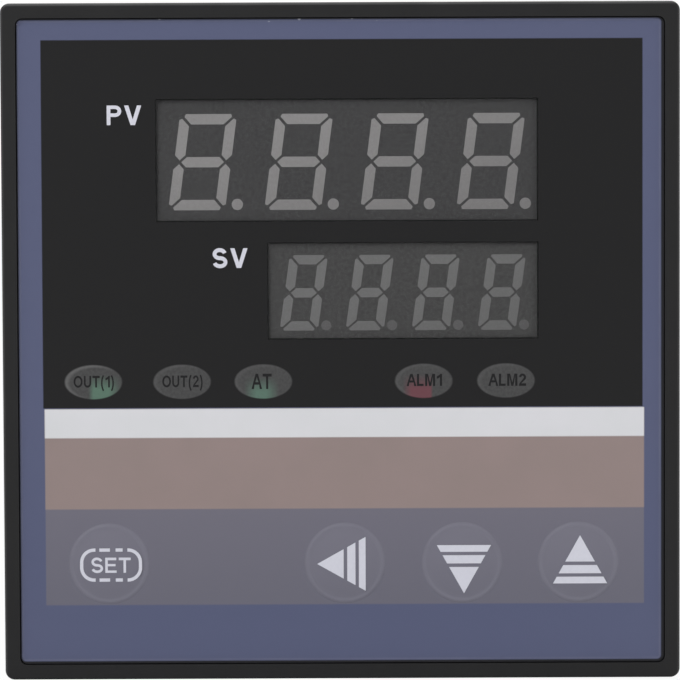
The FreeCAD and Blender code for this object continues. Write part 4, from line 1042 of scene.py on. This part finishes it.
# Each legend fills a box from left to right and from low to high, in strokes of one width.
print_words("process_value_legend", "PV", -24.77, -21.10, 23.09, 25.17, 0.2, pale_ink)
print_words("set_value_legend", "SV", -13.62, -9.91, 7.87, 10.01, 0.2, pale_ink)
print_words("output_1_legend", "OUT(1)", -28.5, -24.22, -5.18, -3.45, 0.185, dark_ink)
print_words("output_2_legend", "OUT(2)", -19.06, -14.78, -5.18, -3.45, 0.185, dark_ink)
print_words("tuning_legend", "AT", -9.56, -7.42, -5.01, -3.38, 0.185, dark_ink)
print_words("alarm_1_legend", "ALM1", 6.93, 10.71, -4.76, -3.47, 0.2, dark_ink)
print_words("alarm_2_legend", "ALM2", 15.63, 19.66, -4.78, -3.47, 0.2, dark_ink)
print_words("set_key_word", "SET", -26.73, -22.55, -24.59, -22.93, 0.17, pale_ink, "set")


def cut_across(shape, level, side):
    """Cuts a flat shape along a line that crosses a direction at that level."""
    bmesh.ops.bisect_plane(
        shape, geom=shape.verts[:] + shape.edges[:] + shape.faces[:],
        plane_co=Vector(side) * level, plane_no=side)


def cut_strip(shape, low, high, side):
    """Drops what lies between two such lines."""
    for level in (low, high):
        cut_across(shape, level, side)
    gone = [f for f in shape.faces if low < f.calc_center_median().dot(Vector(side)) < high]
    bmesh.ops.delete(shape, geom=gone, context="FACES")


for key, turn, shift_x, shift_z in (
        ("shift", 90, -0.35, -0.08), ("down", 180, 0.17, -0.66), ("up", 0, 0.18, 0.27)):
    arrow = bmesh.new()
    arrow.faces.new([arrow.verts.new(co) for co in ((0, 2.62, 0), (-2.89, -2.54, 0), (2.89, -2.54, 0))])
    cut_strip(arrow, -0.58, -0.20, (0, 1, 0))
    cut_strip(arrow, -1.82, -1.46, (0, 1, 0))
    bmesh.ops.rotate(arrow, verts=arrow.verts, matrix=Matrix.Rotation(math.radians(turn), 3, "Z"))
    bmesh.ops.translate(arrow, verts=arrow.verts, vec=(KEY_X[key] + shift_x, KEY_Z + shift_z, 0))
    lay_ink(f"{key}_key_arrow", arrow, pale_ink, key)

set_frame = bmesh.new()
bmesh.ops.create_grid(set_frame, x_segments=1, y_segments=1, size=1.0)
bmesh.ops.scale(set_frame, verts=set_frame.verts, vec=(3.31, 1.78, 1))
bmesh.ops.bevel(
    set_frame, geom=set_frame.verts[:], affect="VERTICES", offset=1.5, segments=10, profile=0.5, material=-1)
middle = set_frame.faces[:]
bmesh.ops.inset_region(set_frame, faces=middle, use_boundary=True, thickness=0.35, depth=0.0)
bmesh.ops.delete(set_frame, geom=middle, context="FACES")
cut_across(set_frame, 0.0, (0, 1, 0))
for low, high in ((-1.66, -1.24), (-0.12, 0.49), (1.24, 1.75)):
    cut_strip(set_frame, low, high, (1, 0, 0))
bmesh.ops.translate(set_frame, verts=set_frame.verts, vec=(KEY_X["set"] + 0.19, KEY_Z - 0.1, 0))
lay_ink("set_key_frame", set_frame, pale_ink, "set")
